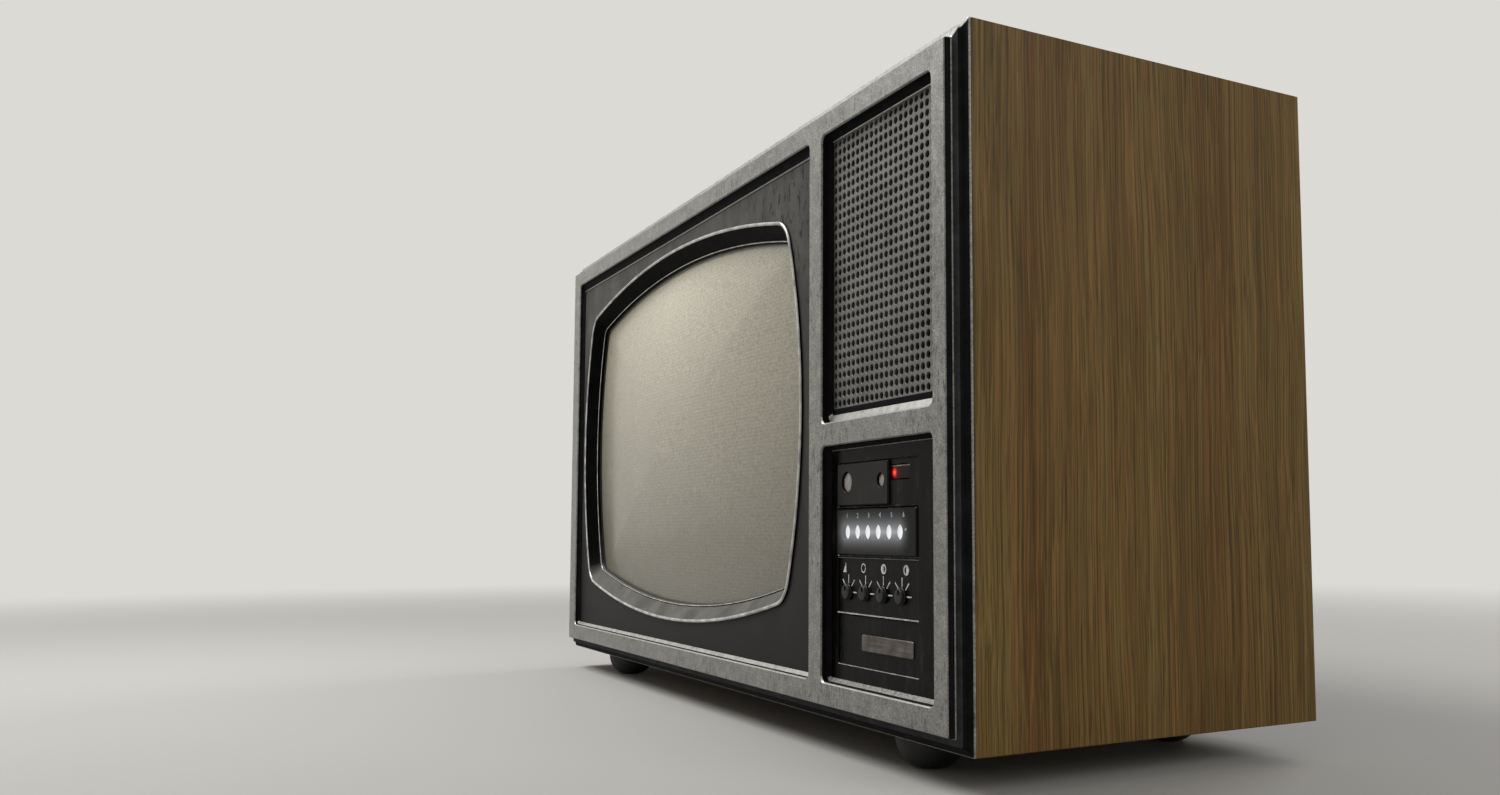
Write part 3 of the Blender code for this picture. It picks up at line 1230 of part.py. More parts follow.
# Back cover: a plate inside the cabinet's rear edge, with a tapered housing round the tube's neck
cover_plate = rounded(grown(CABINET_INSIDE, -FIT_GAP), COVER_CORNER)


def housing(width, height, wall):
    outline = centred(TUBE_X, TUBE_Z, width - 2 * wall, height - 2 * wall)
    return rounded(outline, HOUSING_CORNER - wall)


housing_wall = COVER_THICKNESS
cover_rings = [
    ring(housing(HOUSING_END_WIDTH, HOUSING_END_HEIGHT, housing_wall), TOTAL_DEPTH - COVER_THICKNESS),
    ring(housing(HOUSING_BASE_WIDTH, HOUSING_BASE_HEIGHT, housing_wall), COVER_FRONT),
    ring(cover_plate, COVER_FRONT),
    ring(cover_plate, COVER_REAR),
    ring(housing(HOUSING_BASE_WIDTH, HOUSING_BASE_HEIGHT, 0), COVER_REAR),
    ring(housing(HOUSING_END_WIDTH, HOUSING_END_HEIGHT, 0), TOTAL_DEPTH),
]
back_cover = loft("back_cover", cover_rings, DARK_PLASTIC)
cut(back_cover, *cover_screw_holes)


def vents(name, first_x, field_width, towards):
    """Rows of upright slots in the plate, which fill a field from first_x towards the middle."""
    slot = centred(first_x, CABINET_INSIDE.top - VENT_TOP - VENT_HEIGHT / 2, VENT_WIDTH, VENT_HEIGHT)
    tool = slab(name, square(slot), COVER_FRONT - OVERSHOOT, COVER_REAR + OVERSHOOT)
    repeat(tool, 1 + int((field_width - VENT_WIDTH) / VENT_PITCH), (towards * VENT_PITCH, 0, 0))
    repeat(tool, VENT_ROWS, (0, 0, -VENT_ROW_PITCH))
    cut(back_cover, tool)


vents("right vents", CABINET_INSIDE.right - VENT_EDGE, VENT_FIELD_RIGHT, -1)
vents("left vents", CABINET_INSIDE.left + VENT_EDGE, VENT_FIELD_LEFT, 1)
for number, (side, screw_z) in enumerate([(s, z) for z in cover_screw_zs for s in (-1, 1)], 1):
    place = (side * cover_screw_x, COVER_REAR, screw_z)
    pan_head_screw(f"back_cover_screw_{number}", place, BACKWARDS, COVER_SCREW_RADIUS, COVER_SCREW_LENGTH)

# Aerial socket in the back cover, behind the tuner
aerial_z = FLOOR_Z + AERIAL_HEIGHT
aerial_profile = [
    (0, -AERIAL_SINK),
    (AERIAL_BORE_RADIUS, -AERIAL_SINK),
    (AERIAL_BORE_RADIUS, AERIAL_LENGTH),
    (AERIAL_BARREL_RADIUS, AERIAL_LENGTH),
    (AERIAL_BARREL_RADIUS, FIT_GAP + AERIAL_FLANGE_THICKNESS),
    (AERIAL_FLANGE_RADIUS, FIT_GAP + AERIAL_FLANGE_THICKNESS),
    (AERIAL_FLANGE_RADIUS, FIT_GAP),
    (AERIAL_BARREL_RADIUS, FIT_GAP),
    (AERIAL_BARREL_RADIUS, -AERIAL_INNER_LENGTH),
    (0, -AERIAL_INNER_LENGTH),
]
turned("aerial_socket", aerial_profile, (tuner_x, COVER_REAR, aerial_z), BACKWARDS, STEEL)
cut(
    back_cover,
    rod(
        "aerial hole", tuner_x, aerial_z, AERIAL_BARREL_RADIUS + FIT_GAP,
        COVER_FRONT - OVERSHOOT, COVER_REAR + OVERSHOOT,
    ),
)

# Mains inlet in the back cover: a flanged socket with two pins
inlet_x = CABINET_INSIDE.right - INLET_FROM_RIGHT
inlet = centred(inlet_x, FLOOR_Z + INLET_HEIGHT, INLET_WIDTH, INLET_TALL)
inlet_face = COVER_REAR + FIT_GAP + INLET_FLANGE_THICKNESS
inlet_floor = inlet_face - INLET_RECESS
mains_inlet = slab("mains_inlet", square(inlet), inlet_floor - INLET_WALL, inlet_face, BROWN_PLASTIC)
weld(mains_inlet, slab("inlet flange", square(grown(inlet, INLET_FLANGE)), COVER_REAR + FIT_GAP, inlet_face))
cut(
    mains_inlet,
    slab("inlet recess", square(grown(inlet, -INLET_WALL)), inlet_floor, inlet_face + OVERSHOOT),
)
for pin_side in (-1, 1):
    pin_x = inlet_x + pin_side * INLET_PIN_SPACING / 2
    pin = rod(
        "inlet pin", pin_x, middle(inlet)[1], INLET_PIN_RADIUS,
        inlet_floor - WELD_DEPTH, inlet_face - INLET_PIN_SINK, steps=10,
    )
    weld(mains_inlet, pin)
cut(
    back_cover,
    slab("inlet hole", square(grown(inlet, FIT_GAP)), COVER_FRONT - OVERSHOOT, COVER_REAR + OVERSHOOT),
)
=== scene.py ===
import math
from functools import partial

import bmesh
import bpy
from mathutils import Matrix, Vector


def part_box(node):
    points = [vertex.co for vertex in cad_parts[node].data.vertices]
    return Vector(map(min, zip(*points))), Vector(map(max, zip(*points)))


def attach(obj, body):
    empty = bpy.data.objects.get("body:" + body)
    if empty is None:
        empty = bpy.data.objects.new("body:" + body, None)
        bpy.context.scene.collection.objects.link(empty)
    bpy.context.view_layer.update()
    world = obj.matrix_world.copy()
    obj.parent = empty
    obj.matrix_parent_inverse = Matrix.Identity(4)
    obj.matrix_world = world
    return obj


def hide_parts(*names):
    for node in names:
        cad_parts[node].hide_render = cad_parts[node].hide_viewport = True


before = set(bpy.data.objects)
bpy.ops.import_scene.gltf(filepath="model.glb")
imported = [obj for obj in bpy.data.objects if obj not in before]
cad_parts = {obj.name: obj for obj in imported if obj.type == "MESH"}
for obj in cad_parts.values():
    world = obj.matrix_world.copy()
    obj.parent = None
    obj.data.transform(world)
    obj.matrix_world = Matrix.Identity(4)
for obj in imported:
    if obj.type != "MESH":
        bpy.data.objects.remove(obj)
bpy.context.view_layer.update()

# Camera at the photograph's angle: low and close to the right front corner, tilted up a little, so that the
# front runs away steeply to the left and the veneered side stays wide.
camera_spot = (0.84524, -0.49138, 0.12962)
yaw, pitch, roll = 1.0539107, 0.0805205, -0.0022679
ahead = Vector((-math.sin(yaw) * math.cos(pitch), math.cos(yaw) * math.cos(pitch), math.sin(pitch)))
level = Vector((math.cos(yaw), math.sin(yaw), 0))
above = level.cross(ahead)
camera_right = level * math.cos(roll) + above * math.sin(roll)
camera_up = above * math.cos(roll) - level * math.sin(roll)
camera_data = bpy.data.cameras.new("camera")
camera_data.sensor_width = 36
camera_data.lens = 29.436
camera_data.shift_x, camera_data.shift_y = -0.0876, 0.023
camera_data.clip_start = 0.01
camera = bpy.data.objects.new("camera", camera_data)
camera_turn = Matrix((camera_right, camera_up, -ahead)).transposed().to_4x4()
camera.matrix_world = Matrix.Translation(camera_spot) @ camera_turn
bpy.context.scene.collection.objects.link(camera)
bpy.context.scene.camera = camera
bpy.context.scene.view_settings.view_transform = "Standard"


# Studio: a pale floor that runs out into an even pale background. A broad soft lamp stands at the front left
# and above, two further off light the veneered side and the back, and an even sky fills the rest.
def linear(code):
    """An sRGB hex colour as linear RGBA."""
    shares = [int(code[i : i + 2], 16) / 255 for i in (1, 3, 5)]
    return (*(s / 12.92 if s <= 0.04045 else ((s + 0.055) / 1.055) ** 2.4 for s in shares), 1.0)


def add_node(tree, kind, inputs=(), stops=(), **settings):
    """Adds one shader node: settings, ramp stops, and inputs by name or in order, as values or links."""
    node = tree.nodes.new("ShaderNode" + kind)
    for setting, value in settings.items():
        setattr(node, setting, value)
    if stops:
        elements = node.color_ramp.elements
        elements[0].position, elements[-1].position = stops[0][0], stops[-1][0]
        for position, _ in stops[1:-1]:
            elements.new(position)
        for element, (_, shade) in zip(elements, stops):
            element.color = linear(shade)
    for socket, value in inputs.items() if isinstance(inputs, dict) else enumerate(inputs):
        if isinstance(value, bpy.types.Node):
            value = next(output for output in value.outputs if output.enabled)
        if isinstance(value, bpy.types.NodeSocket):
            tree.links.new(value, node.inputs[socket])
        else:
            node.inputs[socket].default_value = value
    return node


def new_finish(name):
    """An empty material, what adds a node to it, and the place on the surface in metres."""
    material = bpy.data.materials.new(name)
    material.use_nodes = True
    material.node_tree.nodes.clear()
    add = partial(add_node, material.node_tree)
    return material, add, add("TexCoord").outputs["Object"]


def sees_background(add):
    """1 for a ray from the camera, from gloss or through glass, and 0 for a ray that only carries light."""
    ray = add("LightPath").outputs
    seen = add("Math", (ray["Is Camera Ray"], ray["Is Glossy Ray"]))
    return add("Math", (seen, ray["Is Transmission Ray"]), use_clamp=True)


def settle(shape, name, *finishes, sharp=32):
    """Makes a finished shape an object, smooth except at edges sharper than that many degrees."""
    bmesh.ops.recalc_face_normals(shape, faces=shape.faces)
    mesh = bpy.data.meshes.new(name)
    shape.to_mesh(mesh)
    shape.free()
    for finish in finishes:
        mesh.materials.append(finish)
    mesh.shade_smooth()
    mesh.set_sharp_from_angle(angle=math.radians(sharp))
    piece = bpy.data.objects.new(name, mesh)
    bpy.context.scene.collection.objects.link(piece)
    piece.modifiers.new("even_normals", "WEIGHTED_NORMAL").keep_sharp = True
    return piece


pale = "#dcdad5"
sky = bpy.data.worlds.new("studio_sky")
sky.use_nodes = True
sky.node_tree.nodes.clear()
bpy.context.scene.world = sky
add = partial(add_node, sky.node_tree)
sky_light = add("Background", {"Color": linear("#f4f6f8"), "Strength": 0.3})
sky_seen = add("Background", {"Color": linear(pale), "Strength": 1.0})
sky_mix = add("MixShader", (sees_background(add), sky_light, sky_seen))
add("OutputWorld", {"Surface": sky_mix})

fade_start, fade_end, floor_radius = 0.7, 2.4, 4
floor_finish, add, here = new_finish("pale_studio_floor")
reach = add("VectorMath", (here,), operation="LENGTH")
fade = add("MapRange", (reach, fade_start, fade_end), interpolation_type="SMOOTHSTEP")
share = add("Math", (fade, sees_background(add)), operation="MULTIPLY")
# The paper is darker than the background, because the lamps brighten it to the same tone.
paper = add("BsdfPrincipled", {"Base Color": linear("#aeaca7"), "Roughness": 0.85})
far_off = add("Emission", {"Color": linear(pale), "Strength": 1.0})
add("OutputMaterial", {"Surface": add("MixShader", (share, paper, far_off))})
floor_shape = bmesh.new()
bmesh.ops.create_circle(floor_shape, cap_ends=True, radius=floor_radius, segments=128)
settle(floor_shape, "studio_floor", floor_finish)

lamp_target = Vector((0, 0, 0.2))
for lamp_name, lamp_spot, lamp_size, lamp_watts in (
    ("key_lamp", (-0.5, -0.85, 1.35), 0.9, 24),
    ("side_lamp", (2.3, 0.5, 1.3), 1.4, 16),
    ("rear_lamp", (-0.4, 2.4, 1.8), 1.6, 28),
):
    lamp_data = bpy.data.lights.new(lamp_name, "AREA")
    lamp_data.shape = "DISK"
    lamp_data.size = lamp_size
    lamp_data.energy = lamp_watts
    lamp = bpy.data.objects.new(lamp_name, lamp_data)
    lamp.location = lamp_spot
    lamp.rotation_euler = (lamp_target - Vector(lamp_spot)).to_track_quat("-Z", "Y").to_euler()
    bpy.context.scene.collection.objects.link(lamp)

# Cabinet: top and two sides of 12 mm particle board under oak veneer, mitred and glued at the corners with
# their edges sanded just blunt, and the bottom panel, whose shape is right as it is.
MM = 0.001
front_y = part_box("front_frame")[0].y


def place(x, depth, z):
    """Millimetres from the middle, behind the frame's front and above the floor, as a point in metres."""
    return Vector((x * MM, front_y + depth * MM, z * MM))


def repeats(*sizes):
    """Texture scale at which one feature is that many millimetres, or three scales, one along each axis."""
    scales = [1000 / size for size in sizes]
    return scales if len(scales) > 1 else scales[0]


def upright(outline, depth):
    return [place(x, depth, z) for x, z in outline]


def add_ring(shape, points):
    return [shape.verts.new(point) for point in points]


def add_levels(shape, outline, *depths):
    """The same outline as a ring at each depth."""
    return [add_ring(shape, upright(outline, depth)) for depth in depths]


def add_wall(shape, rings, joined=False, finish=0):
    """Faces between neighbouring rings of equally many points; joined goes on from the last to the first."""
    made = []
    for near, far in zip(rings, rings[1:] + (rings[:1] if joined else [])):
        for i in range(len(near)):
            made.append(shape.faces.new((near[i - 1], near[i], far[i], far[i - 1])))
            made[-1].material_index = finish
    return made


def add_solid(shape, rings, finish=0, ends=(0, -1)):
    """Walls from ring to ring and a flat face at the first and last, or at one; gives back the walls."""
    walls = add_wall(shape, rings, finish=finish)
    for end in ends:
        shape.faces.new(rings[end]).material_index = finish
    return walls


def fit(piece, slot, *nodes, body="television_set"):
    """Fixes a piece to its body, in place of the CAD nodes that it stands for, if any; slot is not used."""
    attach(piece, body)
    if nodes:
        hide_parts(*nodes)


def dress(finish, *nodes):
    """Gives CAD nodes whose shape is right their finish."""
    for node in nodes:
        for material_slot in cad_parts[node].material_slots:
            material_slot.material = finish


# Sockets of a mix of colours, which are its share and the colours under and over, and the settings of a mix
# that multiplies them.
SHARE, UNDER, OVER = 0, 6, 7
MULTIPLIED = {"data_type": "RGBA", "blend_type": "MULTIPLY"}


def seal(add, colour, rough, relief, sockets=(), **bump_settings):
    """Ends a finish: colour, roughness as a map range, relief as (height, strength, mm), other sockets."""
    height, strength, depth = relief
    bump = add("Bump", {"Height": height, "Strength": strength, "Distance": depth * MM}, **bump_settings)
    skin = {"Base Color": colour, "Roughness": add("MapRange", rough), "Normal": bump, **dict(sockets)}
    add("OutputMaterial", {"Surface": add("BsdfPrincipled", skin)})


def oak_veneer(name, grain_turn):
    """Straight-grained oak under satin lacquer: soft bands, fine dark and light streaks, short open pores."""
    material, add, here = new_finish(name)
    laid = add("Mapping", {"Vector": here, "Rotation": grain_turn})
    slow = add("Mapping", {"Vector": laid, "Scale": repeats(60, 60, 170)})
    wander = add("TexNoise", {"Vector": slow, "Scale": 1.0, "Detail": 2.0}).outputs["Color"]
    drift = add("VectorMath", (wander, (0.009, 0.009, 0), laid), operation="MULTIPLY_ADD")
    wide = add("Mapping", {"Vector": drift, "Scale": repeats(18, 18, 700)})
    bands = add("TexNoise", {"Vector": wide, "Scale": 1.0, "Detail": 5.0, "Roughness": 0.66})
    browns = [(0.28, "#543f1c"), (0.4, "#674a26"), (0.47, "#604d27"), (0.54, "#6d512a"), (0.61, "#68552d")]
    ground = add("ValToRGB", (bands,), [*browns, (0.75, "#7a6135")])
    # Growth lines are about 1.2 mm apart on this veneer, and each runs for 10 to 20 cm.
    narrow = add("Mapping", {"Vector": drift, "Scale": repeats(1.2, 1.2, 170)})
    lines = add("TexNoise", {"Vector": narrow, "Scale": 1.0, "Detail": 2.0, "Roughness": 0.6})
    line_tone = add("MapRange", (lines, 0.3, 0.7, 1.55, 0.5))
    streaked = add("Mix", {SHARE: 1.0, UNDER: ground, OVER: line_tone}, **MULTIPLIED)
    # Pores are 0.3 mm wide on real oak, drawn 0.75 mm wide here so that they show.
    fine = add("Mapping", {"Vector": drift, "Scale": repeats(0.75, 0.75, 28)})
    pores = add("TexNoise", {"Vector": fine, "Scale": 1.0, "Detail": 1.0})
    pore_share = add("MapRange", (pores, 0.56, 0.68, 0.0, 0.35))
    colour = add("Mix", {SHARE: pore_share, UNDER: streaked, OVER: linear("#33210a")}, data_type="RGBA")
    height = add("Math", (lines, pore_share))
    lacquer = {"IOR": 1.5, "Specular IOR Level": 0.15, "Coat Weight": 0.03, "Coat Roughness": 0.3}
    seal(add, colour, (lines, 0, 1, 0.38, 0.62), (height, 0.3, 0.1), lacquer, invert=True)
    return material


upright_oak = oak_veneer("oak_veneer_grain_upright", (0, 0, 0))
cross_oak = oak_veneer("oak_veneer_grain_across", (0, math.radians(90), 0))
cabinet_front, cabinet_rear, blunting = 10.7, 246.2, 0.5
for panel_name, panel_outline, panel_finish in (
    ("cabinet_top_panel", [(-344.6, 389), (344.6, 389), (332.6, 377), (-332.6, 377)], cross_oak),
    ("cabinet_left_side", [(-345, 20), (-345, 389), (-333, 377), (-333, 32)], upright_oak),
    ("cabinet_right_side", [(345, 20), (345, 389), (333, 377), (333, 32)], upright_oak),
):
    shape = bmesh.new()
    add_solid(shape, add_levels(shape, panel_outline, cabinet_front, cabinet_rear))
    bmesh.ops.bevel(shape, geom=shape.edges[:], offset=blunting * MM, segments=3, profile=0.5, affect="EDGES")
    fit(settle(shape, panel_name + "_veneered", panel_finish), "oak_veneer", panel_name)
dress(cross_oak, "cabinet_bottom_panel")

# Rear battens: two strips of sawn pine glued inside the back edge of the sides; the back cover's screws bite
# into them. Sawn pine is pale and dull, with bands along the strip and rough saw marks.
pine, add, here = new_finish("sawn_pine")
along = add("Mapping", {"Vector": here, "Scale": repeats(4, 4, 160)})
growth = add("TexNoise", {"Vector": along, "Scale": 1.0, "Detail": 4.0, "Distortion": 0.4})
colour = add("ValToRGB", (growth,), [(0.3, "#a67a44"), (0.5, "#c79d66"), (0.7, "#d8b680")])
saw_marks = add("TexNoise", {"Vector": here, "Scale": repeats(0.9), "Detail": 2.0})
seal(add, colour, (saw_marks, 0, 1, 0.65, 0.9), (saw_marks, 0.5, 0.2))
dress(pine, "rear_batten_left", "rear_batten_right")


# Feet: four domed feet of black moulded rubber, each pushed by a spigot into a hole in the bottom panel. The
# flat pad under the dome rests on the floor.
def weathered(name, grain, shades, rough, relief, grit=None, spread=(0, 1), sockets=()):
    """A finish that one noise rules: grain gives its size in millimetres, or three sizes, and its settings.
    It gives the shades, the roughness from low to high and the relief, unless a finer grit gives that."""
    material, add, here = new_finish(name)
    noises = []
    for size, noise in (grain, grit) if grit else (grain,):
        if isinstance(size, tuple):
            stretched = add("Mapping", {"Vector": here, "Scale": repeats(*size)})
            noises.append(add("TexNoise", {"Vector": stretched, "Scale": 1.0, **noise}))
        else:
            noises.append(add("TexNoise", {"Vector": here, "Scale": repeats(size), **noise}))
    colour = add("ValToRGB", (noises[0],), shades)
    seal(add, colour, (noises[0], *spread, *rough), (noises[-1], *relief), sockets)
    return material


def softened(profile, radius, steps=4, closed=False):
    """A profile with each corner eased by that radius, or by less where its sides are short."""
    eased = []
    count = len(profile)
    for i, corner in enumerate(profile):
        if not closed and i in (0, count - 1):
            eased.append(tuple(corner))
            continue
        corner = Vector(corner)
        back, on = Vector(profile[i - 1]) - corner, Vector(profile[(i + 1) % count]) - corner
        start = corner + back.normalized() * min(radius, back.length * 0.45)
        end = corner + on.normalized() * min(radius, on.length * 0.45)
        for step in range(steps + 1):
            share = step / steps
            eased.append(tuple(start * (1 - share) ** 2 + corner * 2 * share * (1 - share) + end * share**2))
    return eased


def round_at(x, z, radius, steps=32):
    """A circle's points in the upright plane."""
    turns = [math.tau * i / steps for i in range(steps)]
    return [(x + radius * math.cos(turn), z + radius * math.sin(turn)) for turn in turns]


# Rubber is a dull black with a greyish bloom.
rubber = weathered(
    "moulded_black_rubber", (11, {"Detail": 4.0}), [(0.35, "#131313"), (0.6, "#1c1c1b"), (0.78, "#2b2a28")],
    rough=(0.55, 0.85), relief=(0.3, 0.1), grit=(0.7, {"Detail": 2.0}), sockets={"IOR": 1.52},
)
spigot, foot_radius, dome_reach, dome_height = 4, 20, 15.5, 17.5
foot_corners = [(spigot, 27.5), (spigot, 19.7), (foot_radius, 19.7), (foot_radius, dome_height)]
foot_profile = softened(foot_corners, 0.6, 3)
for step in range(1, 13):
    turn = math.radians(7.5 * step)
    radius = foot_radius - dome_reach + dome_reach * math.cos(turn)
    foot_profile.append((radius, dome_height * (1 - math.sin(turn))))
for foot_row, foot_depth in (("front", 37.7), ("rear", 210.2)):
    for foot_side, foot_x in (("left", -260), ("right", 260)):
        foot = f"foot_{foot_row}_{foot_side}"
        shape = bmesh.new()
        rings = []
        for radius, height in foot_profile:
            circle = round_at(foot_x, foot_depth, radius, 48)
            rings.append(add_ring(shape, [place(x, depth, height) for x, depth in circle]))
        add_solid(shape, rings)
        fit(settle(shape, foot + "_moulded", rubber), "black_rubber", foot)

# Front frame: one plastic moulding with three windows and a stepped rim, sprayed with silver-grey paint. Its
# lip slides into the cabinet. Faces that look up are painted bright as highlights, and walls that face
# sideways or down are painted dark as shade.
SCREEN_WINDOW = (-318, 182.3, 42.4, 366.8)
GRILLE_WINDOW = (199, 322.8, 193.1, 366.8)
CONTROL_WINDOW = (199, 322.8, 42.4, 179.1)


def rounded(box, grow, radius, steps=6):
    """A rectangle grown by that much on each side, with rounded corners."""
    left, right, bottom, top = box[0] - grow, box[1] + grow, box[2] - grow, box[3] + grow
    points = []
    for x, z, start in (
        (right - radius, top - radius, 0),
        (left + radius, top - radius, 90),
        (left + radius, bottom + radius, 180),
        (right - radius, bottom + radius, 270),
    ):
        for step in range(steps + 1):
            turn = math.radians(start + 90 * step / steps)
            points.append((x + radius * math.cos(turn), z + radius * math.sin(turn)))
    return points


def add_rings(shape, outline, profile):
    """Rings along a profile of (step out, depth), where outline gives the points for a step out."""
    return [add_ring(shape, upright(outline(out), depth)) for out, depth in profile]


def add_flat(shape, *rings, finish=0):
    """A flat face inside the first ring, open where the other rings are."""
    edges = []
    for ring in rings:
        for i in range(len(ring)):
            pair = (ring[i - 1], ring[i])
            edges.append(shape.edges.get(pair) or shape.edges.new(pair))
    filled = bmesh.ops.triangle_fill(shape, use_beauty=True, edges=edges)
    for face in filled["geom"]:
        if isinstance(face, bmesh.types.BMFace):
            face.material_index = finish


# Metallic paint: cloudy silver-grey with a fine sparkle, streaks of grime in places and small chips.
silver_paint, add, here = new_finish("silver_grey_metallic_paint")
clouds = add("TexNoise", {"Vector": here, "Scale": repeats(7), "Detail": 8.0, "Roughness": 0.74})
greys = [(0.3, "#64635e"), (0.46, "#7b7a75"), (0.57, "#86857d"), (0.72, "#9b9a92")]
tone = add("ValToRGB", (clouds,), greys)
# Aluminium flake is far finer than this; at 1.1 mm it shows as the paint's grain.
flake = add("TexNoise", {"Vector": here, "Scale": repeats(1.1), "Detail": 1.0})
glint = add("MapRange", (flake, 0.3, 0.7, 0.66, 1.34))
grained = add("Mix", {SHARE: 1.0, UNDER: tone, OVER: glint}, **MULTIPLIED)
runs = add("Mapping", {"Vector": here, "Scale": repeats(2.2, 2.2, 9)})
grime = add("TexNoise", {"Vector": runs, "Scale": 1.0, "Detail": 5.0, "Roughness": 0.7})
patches = add("TexNoise", {"Vector": here, "Scale": repeats(60), "Detail": 3.0})
grime_line = add("MapRange", (grime, 0.53, 0.64))
grime_place = add("MapRange", (patches, 0.42, 0.6, 0.08, 0.85))
grime_share = add("Math", (grime_line, grime_place), operation="MULTIPLY")
soiled = add("Mix", {SHARE: grime_share, UNDER: grained, OVER: linear("#37352f")}, data_type="RGBA")
chips = add("TexVoronoi", {"Vector": here, "Scale": repeats(13), "Randomness": 1.0})
chip_share = add("MapRange", (chips, 0.075, 0.03, 0.0, 0.8))
colour = add("Mix", {SHARE: chip_share, UNDER: soiled, OVER: linear("#2a2926")}, data_type="RGBA")
height = add("Math", (flake, chip_share), operation="SUBTRACT")
seal(add, colour, (clouds, 0.3, 0.7, 0.36, 0.56), (height, 0.25, 0.12), {"Metallic": 0.25, "IOR": 1.5})

# Painted highlight: paler, smoother silver paint on faces that catch the light from above: the sills, the top
# of the rim and the edge over the grille.
highlight_paint = weathered(
    "silver_paint_painted_as_highlight", (7, {"Detail": 5.0, "Roughness": 0.7}),
    [(0.28, "#62615c"), (0.42, "#a5a49d"), (0.6, "#bdbcb5"), (0.8, "#cdccc5")],
    rough=(0.45, 0.22), relief=(0.2, 0.1), sockets={"Metallic": 0.4},
)
# Painted shade: dark cloudy paint for the rim's walls and the window jambs that face away from the light,
# and a paler dark one for the rim's shelf.
shade_paint, shelf_shade_paint = (
    weathered(
        name, (14, {"Detail": 6.0, "Roughness": 0.7}), list(zip((0.3, 0.5, 0.66, 0.8), shades)),
        rough=(0.5, 0.75), relief=(0.2, 0.1), grit=(0.8, {"Detail": 1.0}),
        sockets={"IOR": 1.5, "Specular IOR Level": 0.02},
    )
    for name, shades in (
        ("painted_shade_in_the_recesses", ("#111112", "#171718", "#1e1e1f", "#2a2a2a")),
        ("painted_shade_on_the_rim_shelf", ("#2c2d2e", "#373839", "#424344", "#525353")),
    )
)

PAINT, HIGHLIGHT, SHADE, SHELF = 0, 1, 2, 3
rim_plate = (-336, 336, 29, 380)
frame_back, lip = 10.4, 2.5
shape = bmesh.new()
rim_steps = [(-0.6, 0), (0, 0.6), (0.4, 4.3), (4.6, 5.7), (5, 7.2), (7, 8.6), (9, 9.4), (9, frame_back)]
rim_profile = softened(rim_steps, 0.45, 3)
rim_outline = partial(rounded, rim_plate, radius=1.0)
rim_rings = add_rings(shape, rim_outline, rim_profile)
# Painted light and shade: along the sides and bottom the rim's walls get the shade paint and its shelf the
# paler shade paint; along the top they are painted silver, and the bevels there are painted as highlights.
for i, (out, depth) in enumerate(rim_profile[1:]):
    if depth < 0.75 or 4.0 < depth < 4.5 or depth > 9.3:
        rim_finish = PAINT
    elif 0.6 < out < 4.5:
        rim_finish = SHELF
    else:
        rim_finish = SHADE
    for face in add_wall(shape, rim_rings[i : i + 2], finish=rim_finish):
        if face.calc_center_median().z > rim_plate[3] * MM:
            face.material_index = HIGHLIGHT if rim_finish == PAINT else PAINT
lip_rings = add_rings(shape, rim_outline, [(-3.3, frame_back), (-3.3, 20), (-6.3, 20), (-6.3, frame_back)])
add_wall(shape, [rim_rings[-1], *lip_rings])
window_fronts, window_backs = [], []
for window, panel_depth, foot_lip, head_lip in (
    (SCREEN_WINDOW, 5.2, lip, 6.2),
    (GRILLE_WINDOW, 7.5, 4.8, 3.3),
    (CONTROL_WINDOW, 6.5, lip, lip),
):
    seat = panel_depth - 0.3
    sill = softened([(0.8, 0), (0, 0.8), (0, seat - lip), (-lip, seat - 0.25), (-lip, seat)], 0.5, 3)
    sill_rings = []
    for out, depth in sill:
        inner = min(0, out)
        raised = window[2] - inner * (foot_lip / lip - 1)
        dropped = window[3] + inner * (head_lip / lip - 1)
        opening = rounded((window[0], window[1], raised, dropped), out, 4 + out)
        sill_rings.append(add_ring(shape, upright(opening, depth)))
    # Painted light and shade: the jambs get the shade paint. At each window's foot the front bevel and the
    # slope, which look up, are painted as highlights, except the control window's slope, which is silver;
    # elsewhere the front bevel is silver, and the end of the head lip is a highlight over the grille and
    # silver in the others.
    for i, (out, depth) in enumerate(sill[1:]):
        for face in add_wall(shape, sill_rings[i : i + 2], finish=SHADE):
            height = face.calc_center_median().z / MM
            if height < window[2] + foot_lip + 0.1 and (depth < 1.1 or out < -0.4):
                face.material_index = PAINT if depth > 1.1 and window is CONTROL_WINDOW else HIGHLIGHT
            elif depth < 1.1:
                face.material_index = PAINT
            elif out < -lip + 0.2 and height > window[3] - head_lip - 0.1:
                face.material_index = HIGHLIGHT if window is GRILLE_WINDOW else PAINT
    seat_rings = add_levels(shape, rounded(window, 3.5, 7.5), seat, frame_back)
    add_wall(shape, [sill_rings[-1], *seat_rings])
    window_fronts.append(sill_rings[0])
    window_backs.append(seat_rings[-1])
add_flat(shape, rim_rings[0], *window_fronts)
add_flat(shape, lip_rings[-1], *window_backs)
front_frame = settle(shape, "front_frame_painted", silver_paint, highlight_paint, shade_paint, shelf_shade_paint)
fit(front_frame, "silver_grey_paint", "front_frame")

# Screen mask: a flat panel of dark grey moulded plastic behind the screen window, held in the frame's seat.
# It is painted lighter at the top and darker at the bottom, as light and shade from above; years of
# cleaning have left pale wipes and, at the upper right, dark runs.
mask_plastic, add, here = new_finish("dark_grey_moulded_abs")
wipes = add("Mapping", {"Vector": here, "Scale": repeats(26, 26, 70)})
wiped = add("TexNoise", {"Vector": wipes, "Scale": 1.0, "Detail": 6.0, "Roughness": 0.65})
tone = add("ValToRGB", (wiped,), [(0.3, "#2f2e2d"), (0.48, "#3b3a38"), (0.62, "#484643"), (0.8, "#5b5853")])
